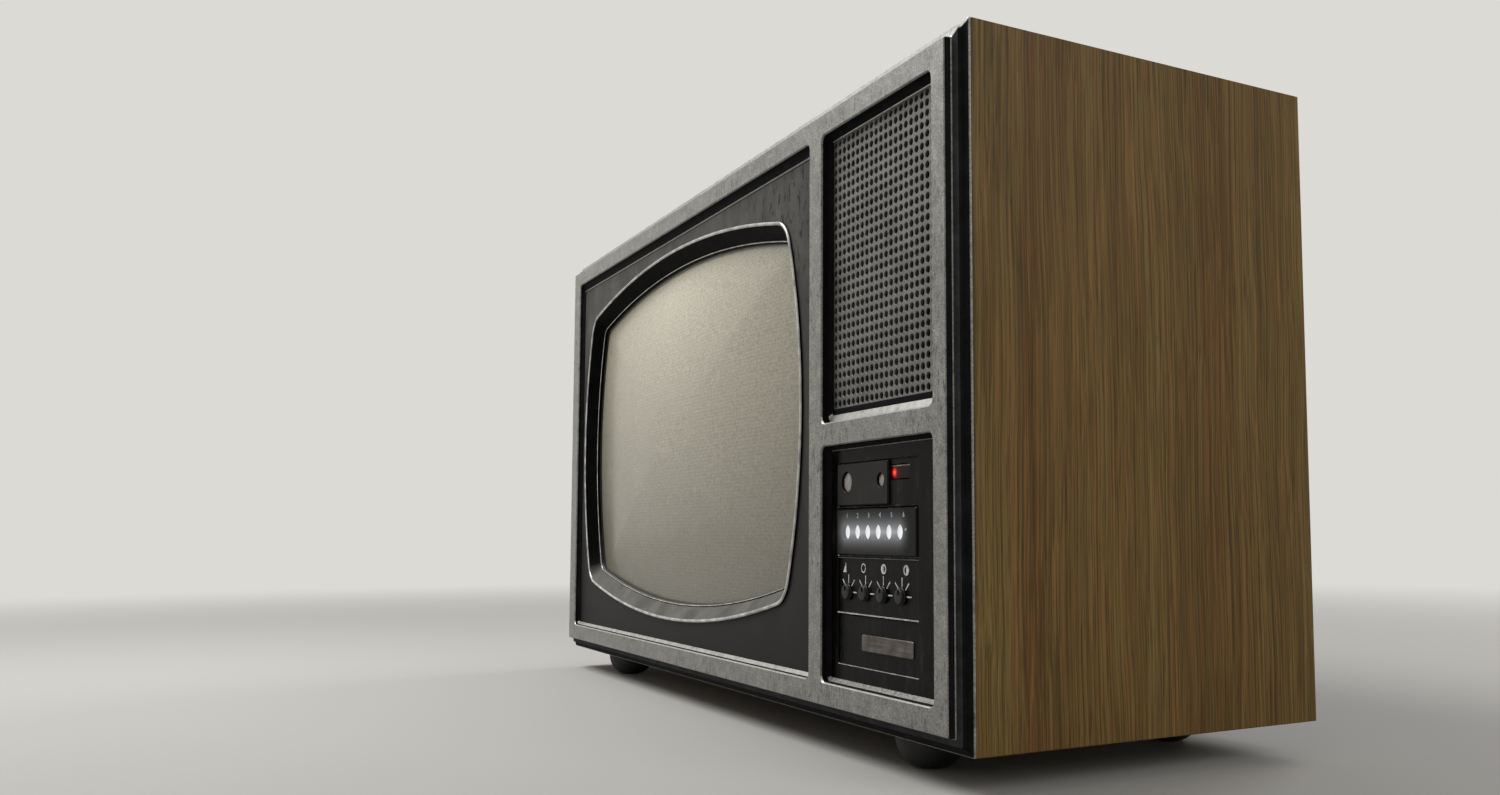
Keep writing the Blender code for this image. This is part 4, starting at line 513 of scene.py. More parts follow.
# Painted light and shade: the tone runs from dark at the bottom to light at the top.
height = add("SeparateXYZ", (here,)).outputs["Z"]
painted_top_light = add("MapRange", (height, 50 * MM, 350 * MM, 0.25, 1.25))
top_lit_tone = add("Mix", {SHARE: 1.0, UNDER: tone, OVER: painted_top_light}, **MULTIPLIED)
drips = add("Mapping", {"Vector": here, "Scale": repeats(5, 5, 12)})
dripped = add("TexNoise", {"Vector": drips, "Scale": 1.0, "Detail": 4.0, "Roughness": 0.7})
drip_line = add("MapRange", (dripped, 0.54, 0.6))
from_corner = add("VectorMath", (here, place(165, 5.2, 362)), operation="DISTANCE")
drip_place = add("MapRange", (from_corner, 0.13, 0.03, 0.04, 1.0))
drip_share = add("Math", (drip_line, drip_place), operation="MULTIPLY")
colour = add("Mix", {SHARE: drip_share, UNDER: top_lit_tone, OVER: linear("#121110")}, data_type="RGBA")
spark = add("TexNoise", {"Vector": here, "Scale": repeats(0.9), "Detail": 2.0})
seal(add, colour, (wiped, 0, 1, 0.42, 0.68), (spark, 0.25, 0.12), {"IOR": 1.5, "Specular IOR Level": 0.12})
dress(mask_plastic, "screen_mask")

# Tube surround: a glossy black moulded ring clipped into the mask, with a beaded lip and a slope down to the
# glass. Its crest and bead are painted as a bright highlight line; where the slope looks up it is painted
# light grey, as light from above together with dust.
tube_x, tube_z = -70.45, 206.5


def barrel(inset):
    """The opening's outline about the tube's axis: four shallow arcs and rounded corners, moved inwards."""
    half_width, half_height, corner, side_arc, top_arc = 235, 145.5, 24, 335, 950
    side_centre, top_centre = Vector((half_width - side_arc, 0)), Vector((0, half_height - top_arc))
    between = side_centre - top_centre
    top_reach, side_reach = top_arc - corner, side_arc - corner
    along = (top_reach**2 - side_reach**2 + between.length_squared) / (2 * between.length)
    across = math.sqrt(top_reach**2 - along**2)
    unit = between.normalized()
    middle = top_centre + unit * along + Vector((unit.y, -unit.x)) * across
    low = math.atan2((middle - side_centre).y, (middle - side_centre).x)
    high = math.atan2((middle - top_centre).y, (middle - top_centre).x)
    quarter = []
    for centre, radius, start, end, steps in (
        (side_centre, side_arc, 0, low, 14),
        (middle, corner, low, high, 14),
        (top_centre, top_arc, high, math.pi / 2, 20),
    ):
        for step in range(steps):
            turn = start + (end - start) * step / steps
            reach = radius - inset
            quarter.append((centre.x + reach * math.cos(turn), centre.y + reach * math.sin(turn)))
    half = quarter + [(0, half_height - inset)] + [(-x, z) for x, z in reversed(quarter[1:])]
    return half + [(-half_width + inset, 0)] + [(x, -z) for x, z in reversed(half[1:])]


def round_tube(outline, depth):
    return [place(tube_x + x, depth, tube_z + z) for x, z in outline]


# Polystyrene moulds to a deep gloss, which age has left a little hazed.
gloss_black, add, here = new_finish("gloss_black_moulded_polystyrene")
haze = add("TexNoise", {"Vector": here, "Scale": repeats(22), "Detail": 5.0, "Roughness": 0.6})
black = add("ValToRGB", (haze,), [(0.3, "#070707"), (0.55, "#0b0b0b"), (0.78, "#141313")])
# Painted light: where the surface looks up it is painted light grey, as light from above, together with dust.
facing_up = add("SeparateXYZ", (add("NewGeometry").outputs["Normal"],)).outputs["Z"]
dust_and_top_light_share = add("MapRange", (facing_up, 0.2, 0.6, 0.0, 0.85))
dust_and_top_light = add("ValToRGB", (haze,), [(0.35, "#5f5e5a"), (0.65, "#777570")])
colour = add("Mix", {SHARE: dust_and_top_light_share, UNDER: black, OVER: dust_and_top_light}, data_type="RGBA")
scuffs = add("TexNoise", {"Vector": here, "Scale": repeats(5), "Detail": 4.0})
ripple = add("TexNoise", {"Vector": here, "Scale": repeats(12), "Detail": 2.0})
seal(add, colour, (scuffs, 0, 1, 0.25, 0.5), (ripple, 0.08, 0.15), {"IOR": 1.5, "Specular IOR Level": 0.01})
# Painted highlight: a pale grey, partly metallic finish for the crest.
crest_highlight = weathered(
    "painted_highlight_on_the_polystyrene_crest", (9, {"Detail": 4.0}),
    [(0.3, "#7b7a76"), (0.5, "#b7b6b1"), (0.7, "#d6d5d0")],
    rough=(0.34, 0.16), relief=(0.1, 0.1), sockets={"Metallic": 0.35},
)

shape = bmesh.new()
surround_profile = [
    (0, 4.9), (0, 3.8), (0.7, 3.1), (1.8, 3.1), (2.7, 4.2), (10.6, 11.7), (11.0, 12.5), (11.5, 12.5),
    (11.9, 11.9), (12.4, 12.2), (12.7, 13.6), (13, 14.0), (13, 14.6), (10.5, 14.6), (3, 7.4), (3, 4.9),
]
surround_profile = softened(surround_profile, 0.45, 3, closed=True)
surround_rings = [add_ring(shape, round_tube(barrel(inset), depth)) for inset, depth in surround_profile]
# Painted highlight: the bead at the lip and the crest by the glass get the highlight finish.
for i, (inset, depth) in enumerate(surround_profile):
    crest = depth < 3.9 and inset < 2.5 or 11.7 < inset < 12.5 and depth < 12.4
    add_wall(shape, [surround_rings[i - 1], surround_rings[i]], finish=1 if crest else 0)
surround = settle(shape, "tube_surround_moulded", gloss_black, crest_highlight)
fit(surround, "gloss_black_plastic", "tube_surround")

# Gasket: a strip of black rubber pressed between the surround and the glass. It keeps dust from behind the
# mask and is seen as a thin dark line.
shape = bmesh.new()
gasket_profile = softened([(10.8, 14.9), (13.4, 14.9), (13.4, 15.9), (10.8, 15.9)], 0.4, 3, closed=True)
gasket_rings = [add_ring(shape, round_tube(barrel(inset), depth)) for inset, depth in gasket_profile]
add_wall(shape, gasket_rings, joined=True)
fit(settle(shape, "tube_gasket_strip", rubber), "black_rubber", "tube_gasket")

# Picture tube: one blown glass bulb. Its bulged face is grey-beige from the phosphor behind the glass, with
# fine level lines; the funnel behind is coated with graphite, and the neck is bare glass.
face_edge, face_bulge, face_inset, edge_roll = 16.2, 12, 13, 6
skirt_inset, skirt_back, funnel_radius, funnel_length = 4, 48.2, 48, 117
neck_profile = [(44.5, 171), (36, 182), (26, 196), (18, 208), (14.9, 213.4), (14.5, 216), (14.5, 299.2)]
tube_glass, add, here = new_finish("grey_tube_glass_over_phosphor")
parts = add("SeparateXYZ", (here,)).outputs
# Painted light: the face is painted lightest round a spot above and left of its middle, and darker away from
# it, as light falling from above.
offset = add("VectorMath", (here, place(tube_x - 20, 0, tube_z + 110)), operation="SUBTRACT")
spread = add("VectorMath", (offset, (1000 / 460, 0, 1000 / 262)), operation="MULTIPLY")
spread = add("VectorMath", (spread,), operation="LENGTH")
lit_and_shaded_beiges = [(0.0, "#bbb5a2"), (0.3, "#a29c8a"), (0.5, "#8f8a79"), (0.75, "#7b7667"), (1.0, "#6a6659")]
glow = add("ValToRGB", (spread,), lit_and_shaded_beiges)
# Phosphor grains are far finer than 2 mm; drawn at that size they show as the screen's grain.
blotch = add("TexNoise", {"Vector": here, "Scale": repeats(2), "Detail": 3.0, "Roughness": 0.7})
blotch_tone = add("MapRange", (blotch, 0.3, 0.7, 0.7, 1.3))
speckled = add("Mix", {SHARE: 1.0, UNDER: glow, OVER: blotch_tone}, **MULTIPLIED)
# Picture lines are 0.6 mm apart on this tube; drawn 2.6 mm apart so that they show.
phase = add("Math", (parts["Z"], math.tau / (2.6 * MM)), operation="MULTIPLY")
lines = add("Math", (phase,), operation="SINE")
line_tone = add("MapRange", (lines, -1.0, 1.0, 0.93, 1.05))
lined = add("Mix", {SHARE: 1.0, UNDER: speckled, OVER: line_tone}, **MULTIPLIED)
graphite_share = add("MapRange", (parts["Y"], front_y + 48 * MM, front_y + 58 * MM))
graphite = add("ValToRGB", (blotch,), [(0.3, "#1b1b1c"), (0.7, "#2a2a2b")])
coated = add("Mix", {SHARE: graphite_share, UNDER: lined, OVER: graphite}, data_type="RGBA")
neck_share = add("MapRange", (parts["Y"], front_y + 208 * MM, front_y + 214 * MM))
colour = add("Mix", {SHARE: neck_share, UNDER: coated, OVER: linear("#4d5350")}, data_type="RGBA")
smear = add("TexNoise", {"Vector": here, "Scale": repeats(40), "Detail": 5.0, "Roughness": 0.6})
polish = {"IOR": 1.5, "Coat Weight": 0.25, "Coat Roughness": 0.12}
seal(add, colour, (smear, 0, 1, 0.2, 0.42), (lines, 0.05, 0.1), polish)

face_outline, skirt_outline = barrel(face_inset), barrel(skirt_inset)
sections = []
for step in range(1, 17):
    share = step / 16
    face_depth = face_edge - face_bulge * (1 - share**2)
    sections.append(([(x * share, z * share) for x, z in face_outline], face_depth))
for step in range(1, 7):
    turn = math.radians(15 * step)
    roll_inset = face_inset - (face_inset - skirt_inset) * math.sin(turn)
    sections.append((barrel(roll_inset), face_edge + edge_roll * (1 - math.cos(turn))))
sections.append((skirt_outline, skirt_back))
for step in range(1, 13):
    share = step / 12
    pulls = [(x, z, 1 + share * (funnel_radius / math.hypot(x, z) - 1)) for x, z in skirt_outline]
    sections.append(([(x * pull, z * pull) for x, z, pull in pulls], skirt_back + funnel_length * share))
unit_outline = [(x / math.hypot(x, z), z / math.hypot(x, z)) for x, z in skirt_outline]
for radius, depth in neck_profile:
    sections.append(([(x * radius, z * radius) for x, z in unit_outline], depth))
shape = bmesh.new()
tube_rings = [add_ring(shape, round_tube(outline, depth)) for outline, depth in sections]
add_solid(shape, tube_rings, ends=(-1,))
face_middle = shape.verts.new(place(tube_x, face_edge - face_bulge, tube_z))
for i in range(len(tube_rings[0])):
    shape.faces.new((tube_rings[0][i - 1], tube_rings[0][i], face_middle))
fit(settle(shape, "picture_tube_glass", tube_glass, sharp=40), "grey_tube_glass", "picture_tube")

# Tube fittings behind the mask: the shrunk-on steel rim band with its lugs and screws, the gun and socket in
# the neck, the deflection yoke, and the rubber anode cap with its lead.
# Zinc plating is a cool grey metal with a faint spangle, gone dull in places.
zinc_steel, add, here = new_finish("zinc_plated_steel")
spangle = add("TexVoronoi", {"Vector": here, "Scale": repeats(4)})
tarnish = add("TexNoise", {"Vector": here, "Scale": repeats(18), "Detail": 4.0})
worn = add("Math", (spangle, tarnish), operation="MULTIPLY")
colour = add("ValToRGB", (worn,), [(0.05, "#8d8c86"), (0.25, "#b0afa9"), (0.6, "#c4c4bf")])
seal(add, colour, (tarnish, 0, 1, 0.28, 0.52), (spangle, 0.1, 0.1), {"Metallic": 1.0})
dress(zinc_steel, "tube_rim_band", "electron_gun", *(f"tube_screw_{number}" for number in range(1, 5)))

# Enamelled wire shows as close copper-brown strands, and phenolic as a mottled brown with a slight gloss.
copper_winding = weathered(
    "enamelled_copper_winding_and_ferrite", ((1.2, 30, 1.2), {"Detail": 2.0}),
    [(0.35, "#3a1d10"), (0.55, "#7d3f1e"), (0.7, "#a35a2b")], rough=(0.3, 0.6), relief=(0.6, 0.4),
)
dress(copper_winding, "deflection_yoke", "line_output_transformer")
brown_plastic = weathered(
    "brown_phenolic_moulding", (5, {"Detail": 6.0, "Roughness": 0.7}),
    [(0.3, "#2e1b10"), (0.55, "#3b2517"), (0.75, "#4a3020")], rough=(0.3, 0.5), relief=(0.12, 0.1),
)
dress(brown_plastic, "tube_socket", "program_switch_bank", "mains_switch")
dress(rubber, "anode_cap", "anode_lead")

# Loudspeaker: a black-painted steel basket with a magnet, and a cone of pressed black paper, fixed behind the
# grille, where it shows as darkness through the holes. The paint is a satin black; the paper is quite dull,
# and its fibres show.
black_sheet = weathered(
    "black_painted_steel_sheet", (9, {"Detail": 5.0}), [(0.3, "#141414"), (0.6, "#1d1d1c"), (0.8, "#2c2b29")],
    rough=(0.4, 0.65), relief=(0.1, 0.1),
)
dress(black_sheet, "speaker_basket", "speaker_magnet", "control_bracket", "chassis_tray")
cone_paper = weathered(
    "pressed_black_cone_paper", (1.5, {"Detail": 5.0, "Distortion": 1.5}),
    [(0.3, "#0e0e0e"), (0.7, "#1b1a19")], rough=(0.8, 0.98), relief=(0.5, 0.2),
)
dress(cone_paper, "speaker_cone")

# Loudspeaker grille: a moulded dark grey panel pierced with 22 by 29 round holes, dropped into the seat
# behind its window. Dust and handling have lightened the ribs between the holes; the margin round the holes
# has the shade paint, a painted shadow under the window's edges.
columns, rows = 22, 29
step_x, step_z, hole_radius, hole_ease = 5.5, 5.6, 2.0, 0.22
grille_front, grille_back = 7.5, 9.0
field_left, field_bottom = 260.9 - columns * step_x / 2, 282.75 - rows * step_z / 2
cell_walk = ((0, 0), (1, 0), (2, 0), (3, 0), (3, 1), (3, 2), (3, 3), (2, 3), (1, 3), (0, 3), (0, 2), (0, 1))
hole_turns = [math.radians(225 + 30 * i) for i in range(12)]
hole_ways = [(math.cos(turn), math.sin(turn)) for turn in hole_turns]
grille_plastic = weathered(
    "dusty_dark_grey_moulded_grille", (15, {"Detail": 6.0, "Roughness": 0.7}),
    [(0.3, "#43423f"), (0.48, "#575652"), (0.6, "#64625d"), (0.78, "#7a7871")],
    rough=(0.4, 0.7), relief=(0.2, 0.12), grit=(0.8, {"Detail": 2.0}), sockets={"IOR": 1.54},
)

shape = bmesh.new()
faces_of_sheet = []
for depth in (grille_front, grille_back):
    knots = {}
    for i in range(columns * 3 + 1):
        for j in range(rows * 3 + 1):
            if i % 3 == 0 or j % 3 == 0:
                spot = place(field_left + step_x * i / 3, depth, field_bottom + step_z * j / 3)
                knots[i, j] = shape.verts.new(spot)
    border = [(i, 0) for i in range(columns * 3)] + [(columns * 3, j) for j in range(rows * 3)]
    border += [(columns * 3 - i, rows * 3) for i in range(columns * 3)]
    border += [(0, rows * 3 - j) for j in range(rows * 3)]
    sheet_edge = add_ring(shape, upright(rounded(GRILLE_WINDOW, 3.2, 7.2), depth))
    # Painted shadow: the flat margin gets the shade paint.
    add_flat(shape, sheet_edge, [knots[spot] for spot in border], finish=1)
    faces_of_sheet.append((knots, sheet_edge))
add_wall(shape, [edge for _, edge in faces_of_sheet])
hole_profile = [(hole_ease, grille_front), (0, grille_front + hole_ease), (0, grille_back)]
for column in range(columns):
    for row in range(rows):
        hole_x = field_left + step_x * (column + 0.5)
        hole_z = field_bottom + step_z * (row + 0.5)
        hole_rings = []
        for out, depth in hole_profile:
            radius = hole_radius + out
            spots = [(hole_x + radius * x, hole_z + radius * z) for x, z in hole_ways]
            hole_rings.append(add_ring(shape, upright(spots, depth)))
        near_cell, far_cell = (
            [knots[column * 3 + i, row * 3 + j] for i, j in cell_walk] for knots, _ in faces_of_sheet
        )
        add_wall(shape, [near_cell, *hole_rings, far_cell])
grille = settle(shape, "speaker_grille_pierced", grille_plastic, shade_paint)
fit(grille, "dark_grey_plastic", "speaker_grille")

# Control fascia: a glossy black moulding with four shallow fields between narrow ribs, pierced for every
# control. Posts behind it carry the bracket with the switches. Fingers have left dull smears on the gloss.
fascia_front, field_floor, fascia_back = 6.5, 7.7, 9.5
field_left, field_right = 208.4, 298.0
name_field = (field_left, field_right, 53.6, 81.6)
knob_field = (field_left, field_right, 83.2, 114.2)
button_field = (field_left, field_right, 115.8, 142.3)
lamp_field = (field_left, field_right, 143.9, 168.4)
program_xs, program_z = [220.1 + 11.84 * number for number in range(6)], 129.05
knob_xs, knob_z = [219.5 + 20.07 * number for number in range(4)], 94.8
power_x, lock_x, lamp_row_z = 220.0, 259.3, 157.65
lens_box = (267.0, 287.7, 157.45, 165.45)
fascia_gloss = weathered(
    "smeared_gloss_black_fascia", ((9, 9, 30), {"Detail": 6.0, "Roughness": 0.7}),
    [(0.36, "#060606"), (0.5, "#0c0b0b"), (0.6, "#1a1816"), (0.72, "#2f2b27")],
    rough=(0.14, 0.48), spread=(0.35, 0.7), relief=(0.12, 0.08), grit=((0.7, 0.7, 26), {"Detail": 2.0}),
    sockets={"IOR": 1.5, "Specular IOR Level": 0.06},
)
# Painted highlight: dull grey lines on the edges of the ribs, where their chamfers catch the light.
grey_highlight_line = weathered(
    "painted_grey_highlight_on_the_fascia", (6, {"Detail": 5.0, "Roughness": 0.7}),
    [(0.3, "#3d3c3a"), (0.45, "#85837f"), (0.7, "#b3b1ab")], rough=(0.5, 0.25), relief=(0.15, 0.08),
)

post_radius, post_back = 3, (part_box("control_bracket")[0].y - front_y) / MM - 0.3
shape = bmesh.new()
front_ring, back_ring = add_levels(shape, rounded(CONTROL_WINDOW, 3.2, 7.2), fascia_front, fascia_back)
add_wall(shape, [front_ring, back_ring])
lamp_openings = [round_at(power_x, lamp_row_z, 6.05), round_at(lock_x, lamp_row_z, 4.05)]
lamp_openings.append(rounded(lens_box, 0.3, 0.6))
chamfer = [(0.65, fascia_front), (0.35, fascia_front + 0.28), (0, fascia_front + 0.6)]
field_profile = softened([*chamfer, (0, field_floor)], 0.12, 2)
field_tops, openings_behind = [], []
for field, openings in (
    (name_field, []),
    (knob_field, [round_at(x, knob_z, 3.3) for x in knob_xs]),
    (button_field, [round_at(x, program_z, 4.7) for x in program_xs]),
    (lamp_field, lamp_openings),
):
    field_rings = add_rings(shape, partial(rounded, field, radius=0.8), field_profile)
    # Painted highlight: the chamfers at the foot of each field but the lamp field, and at the head of the
    # knob field, get the grey highlight line.
    for i, (out, depth) in enumerate(field_profile[1:]):
        for face in add_wall(shape, field_rings[i : i + 2]):
            height = face.calc_center_median().z / MM
            at_foot = height < field[2] + 0.1 and field is not lamp_field
            at_head = height > field[3] - 0.1 and field is knob_field
            thin_line = out < 0.34 or at_foot and field is knob_field
            if (at_foot or at_head) and thin_line and depth < fascia_front + 0.75:
                face.material_index = 1
    field_tops.append(field_rings[0])
    floor_openings = []
    for opening in openings:
        hole_rings = add_levels(shape, opening, field_floor, fascia_back)
        add_wall(shape, hole_rings)
        floor_openings.append(hole_rings[0])
        openings_behind.append(hole_rings[1])
    add_flat(shape, field_rings[-1], *floor_openings)
add_flat(shape, front_ring, *field_tops)
for post_x in (203.5, 312.8):
    for post_z in (46.9, 174.6):
        post_rings = add_levels(shape, round_at(post_x, post_z, post_radius, 20), fascia_back, post_back)
        add_solid(shape, post_rings, ends=(-1,))
        openings_behind.append(post_rings[0])
add_flat(shape, back_ring, *openings_behind)
fascia = settle(shape, "control_fascia_moulded", fascia_gloss, grey_highlight_line)
fit(fascia, "gloss_black_plastic", "control_fascia")

# Button plates: a dull brown-black plate in the left of the lamp field and a glossy black one in the button
# field, both glued down. The push buttons lie below their faces. Round the lit programme buttons the glossy
# plate glows: painted light, standing for the buttons' light falling on it.
plate_matt = weathered(
    "dull_brown_black_plate", (12, {"Detail": 6.0, "Roughness": 0.7}),
    [(0.3, "#100e0d"), (0.5, "#191614"), (0.75, "#2a2522")],
    rough=(0.35, 0.6), relief=(0.15, 0.08), grit=(0.8, {"Detail": 1.0}), sockets={"Specular IOR Level": 0.15},
)
glow_painted_plate, add, here = new_finish("gloss_black_plate_with_painted_button_glow")
# Painted light: the plate's glow fades out within 16 mm of the row of buttons.
row_middle = place((program_xs[0] + program_xs[-1]) / 2, 0, program_z)
half_row = ((program_xs[-1] - program_xs[0]) / 2 * MM, 1, 0)
past_row = add("VectorMath", (here, row_middle), operation="SUBTRACT")
past_row = add("VectorMath", (past_row,), operation="ABSOLUTE")
past_row = add("VectorMath", (past_row, half_row), operation="SUBTRACT")
past_row = add("VectorMath", (past_row, (0, 0, 0)), operation="MAXIMUM")
past_row = add("VectorMath", (past_row,), operation="LENGTH")
near_row = add("MapRange", (past_row, 16 * MM, 0.0, 0.0, 0.72))
painted_spill = add("Math", (near_row, 3.0), operation="POWER")
smears = add("TexNoise", {"Vector": here, "Scale": repeats(7), "Detail": 6.0, "Roughness": 0.7})
colour = add("ValToRGB", (smears,), [(0.35, "#070707"), (0.6, "#0e0d0d"), (0.8, "#1d1b19")])
shine = {"Specular IOR Level": 0.1, "Emission Color": linear("#f4f7fb"), "Emission Strength": painted_spill}
seal(add, colour, (smears, 0.35, 0.7, 0.16, 0.45), (smears, 0.1, 0.08), shine)

plate_back = field_floor - 0.02
program_plate_front = 5.6
switch_holes = [(power_x, lamp_row_z, 6.0), (lock_x, lamp_row_z, 4.0)]
program_holes = [(x, program_z, 4.5) for x in program_xs]
for plate_name, plate_box, plate_front, plate_finish, plate_holes in (
    ("switch_plate", (208.5, 267.4, 144.0, 168.3), 6.0, plate_matt, switch_holes),
    ("program_plate", (208.5, 297.9, 115.9, 142.2), program_plate_front, glow_painted_plate, program_holes),
):
    shape = bmesh.new()
    plate_profile = softened([(-0.7, plate_front), (0, plate_front + 0.7), (0, plate_back)], 0.2, 2)
    tubes = [add_rings(shape, partial(rounded, plate_box, radius=0.8), plate_profile)]
    add_wall(shape, tubes[0])
    for hole_x, hole_z, hole_r in plate_holes:
        hole_profile = [(hole_r + 0.15, plate_front), (hole_r, plate_front + 0.15), (hole_r, plate_back)]
        tubes.append(add_rings(shape, partial(round_at, hole_x, hole_z, steps=40), hole_profile))
        add_wall(shape, tubes[-1])
    for end in (0, -1):
        add_flat(shape, *(rings[end] for rings in tubes))
    fit(settle(shape, plate_name, plate_finish), "gloss_black_plastic")

# Programme buttons: six low round caps of milky plastic, lit by a lamp behind the fascia. Each has a flange
# that stops it behind the fascia and a stem into its switch. The milky plastic glows most at its crown.
lit_white, add, here = new_finish("lit_milky_white_plastic")
cloud = add("TexNoise", {"Vector": here, "Scale": repeats(2.2), "Detail": 3.0})
colour = add("ValToRGB", (cloud,), [(0.3, "#8f8e8a"), (0.7, "#a3a29e")])
behind = add("SeparateXYZ", (here,)).outputs["Y"]
shine = add("MapRange", (behind, front_y + 7.6 * MM, front_y + 9.8 * MM, 0.68, 0.1))
uneven = add("MapRange", (cloud, 0, 1, 0.88, 1.08))
strength = add("Math", (shine, uneven), operation="MULTIPLY")
lamp_light = {"IOR": 1.49, "Emission Color": linear("#fbfdff"), "Emission Strength": strength}
seal(add, colour, (cloud, 0, 1, 0.22, 0.36), (cloud, 0.08, 0.1), lamp_light)


def add_turned(shape, x, z, profile, steps=40):
    """A profile of (radius, depth) turned about an axis along the depth, closed flat at both ends."""
    add_solid(shape, add_rings(shape, partial(round_at, x, z, steps=steps), profile))


stem_length, flange_thickness = 14, 1.2


def fit_button(name, x, z, radius, rise, stem, flange, finish, slot):
    """A domed cap with an eased edge, its stop flange behind the fascia and its stem."""
    crown = field_floor - rise
    stop = fascia_back + 0.3
    profile = [(radius * share, crown - 0.1 * (1 - share**2)) for share in (0.06, 0.2, 0.35, 0.5, 0.62, 0.74)]
    profile += softened([(radius * 0.86, crown), (radius, crown + 0.1), (radius, stop)], 0.5, 5)
    profile += [(flange, stop), (flange, stop + flange_thickness), (stem, stop + flange_thickness)]
    profile.append((stem, field_floor + stem_length))
    shape = bmesh.new()
    add_turned(shape, x, z, profile)
    fit(settle(shape, name + "_cap", finish), slot, name, body=name)


for number, button_x in enumerate(program_xs, 1):
    button = f"program_button_{number}"
    fit_button(button, button_x, program_z, 4.4, 0.2, 2, 5.42, lit_white, "lit_white_plastic")

# Power and tuning lock buttons: plain caps of pale grey moulded plastic, with the same flange and stem as the
# programme buttons. The satin plastic is yellowed and rubbed by fingers.
pale_plastic = weathered(
    "rubbed_pale_grey_plastic", ((1.8, 1.8, 5), {"Detail": 5.0, "Roughness": 0.7}),
    [(0.3, "#5d5651"), (0.5, "#8a827b"), (0.75, "#aba39b")], rough=(0.3, 0.52), relief=(0.12, 0.1),
)
for button, button_x, *sizes in (
    ("power_button", power_x, 5.75, 0.4, 2.5, 6.75),
    ("tuning_lock_button", lock_x, 3.75, 0.4, 1.8, 4.75),
):
    fit_button(button, button_x, lamp_row_z, *sizes, pale_plastic, "pale_grey_plastic")

# Indicator lens: a bar of clear dark red plastic set in the lamp field, with the lamp behind its left part,
# which glows through it.
lens_front = 8.2
lens_red, add, here = new_finish("clear_red_lens_lit_from_behind")
from_lamp = add("VectorMath", (here, place(271.2, lens_front, 161.2)), operation="DISTANCE")
fading = add("MapRange", (from_lamp, 0.0, 7 * MM))
reds = [(0.0, "#ff8f80"), (0.14, "#ff5241"), (0.22, "#f51a0d"), (0.32, "#a80d07"), (0.42, "#3c0403")]
glow = add("ValToRGB", (fading,), [*reds, (1.0, "#060000")])
flow = add("TexNoise", {"Vector": here, "Scale": repeats(4), "Detail": 3.0})
colour = add("ValToRGB", (flow,), [(0.3, "#090101"), (0.7, "#130202")])
lamp_light = {"IOR": 1.49, "Specular IOR Level": 0.1, "Emission Color": glow, "Emission Strength": 0.9}
seal(add, colour, (flow, 0, 1, 0.1, 0.24), (flow, 0.06, 0.1), lamp_light)

shape = bmesh.new()
lens_profile = softened([(-0.9, lens_front), (0, 8.7), (0, 11)], 0.4, 3)
lens_rings = add_rings(shape, lambda out: rounded(lens_box, out, 0.9 + out * 0.5), lens_profile)
# Painted highlight: the top edge of the lens gets the grey highlight line.
for face in add_solid(shape, lens_rings):
    spot = face.calc_center_median()
    if spot.z > (lens_box[3] - 0.95) * MM and spot.y < front_y + 8.9 * MM:
        face.material_index = 1
fit(settle(shape, "indicator_lens_bar", lens_red, grey_highlight_line), "red_lens", "indicator_lens")

# Knobs: four low black moulded knobs with fine flutes, a skirt and a raised pointer rib, pressed on to the
# potentiometers' shafts. Their satin black is greyed by grease.
knob_black = weathered(
    "satin_black_moulded_knob", (4, {"Detail": 5.0}), [(0.3, "#0d0d0d"), (0.55, "#171716"), (0.8, "#2b2a28")],
    rough=(0.26, 0.5), relief=(0.1, 0.1), sockets={"Specular IOR Level": 0.25},
)
flutes, flute_depth, knob_points = 20, 0.28, 120
shaft_radius, shaft_end, knob_foot = 3, 24.7, 7.2
knob_side = [(4.8, knob_foot), (4.8, 6.7), (4.5, 6.4), (4.5, 5.7), (3.8, 4.9), (1, 4.9)]
knob_side = softened(knob_side, 0.35, 3)
pointer_profile = softened([(0, 5.1), (0, 4.5), (-0.2, 4.3)], 0.15, 2)
for knob, knob_x in zip(("volume_knob", "brightness_knob", "contrast_knob", "tone_knob"), knob_xs):
    shape = bmesh.new()
    rings = add_levels(shape, round_at(knob_x, knob_z, shaft_radius, knob_points), shaft_end, knob_foot)
    for radius, depth in knob_side:
        cut_depth = flute_depth * max(0, min(1, (6.5 - depth) * 3, (depth - 5.0) * 3))
        spots = []
        for i in range(knob_points):
            turn = math.tau * i / knob_points
            reach = radius - cut_depth * (0.5 + 0.5 * math.cos(flutes * turn)) ** 2
            spots.append((knob_x + reach * math.cos(turn), knob_z + reach * math.sin(turn)))
        rings.append(add_ring(shape, upright(spots, depth)))
    add_solid(shape, rings)
    pointer = (knob_x - 0.6, knob_x + 0.6, knob_z + 0.92, knob_z + 3.8)
    add_solid(shape, add_rings(shape, partial(rounded, pointer, radius=0.35, steps=3), pointer_profile))
    fit(settle(shape, knob + "_fluted", knob_black), "gloss_black_plastic", knob, body=knob)

# Printed marks: white screen print on the fascia, worn thin in places. Digits stand over the programme
# buttons, plain signs for loudness, brightness, contrast and tone over the knobs, and five ticks round each
# knob.
print_white = weathered(
    "worn_white_screen_print", (1.6, {"Detail": 4.0, "Roughness": 0.7}),
    [(0.28, "#5f5d59"), (0.42, "#adaba5"), (0.6, "#d6d4ce")], rough=(0.4, 0.6), relief=(0.15, 0.05),
)
print_front, print_back = field_floor - 0.07, field_floor - 0.01


def add_print(shape, outline):
    add_solid(shape, add_levels(shape, outline, print_front, print_back))


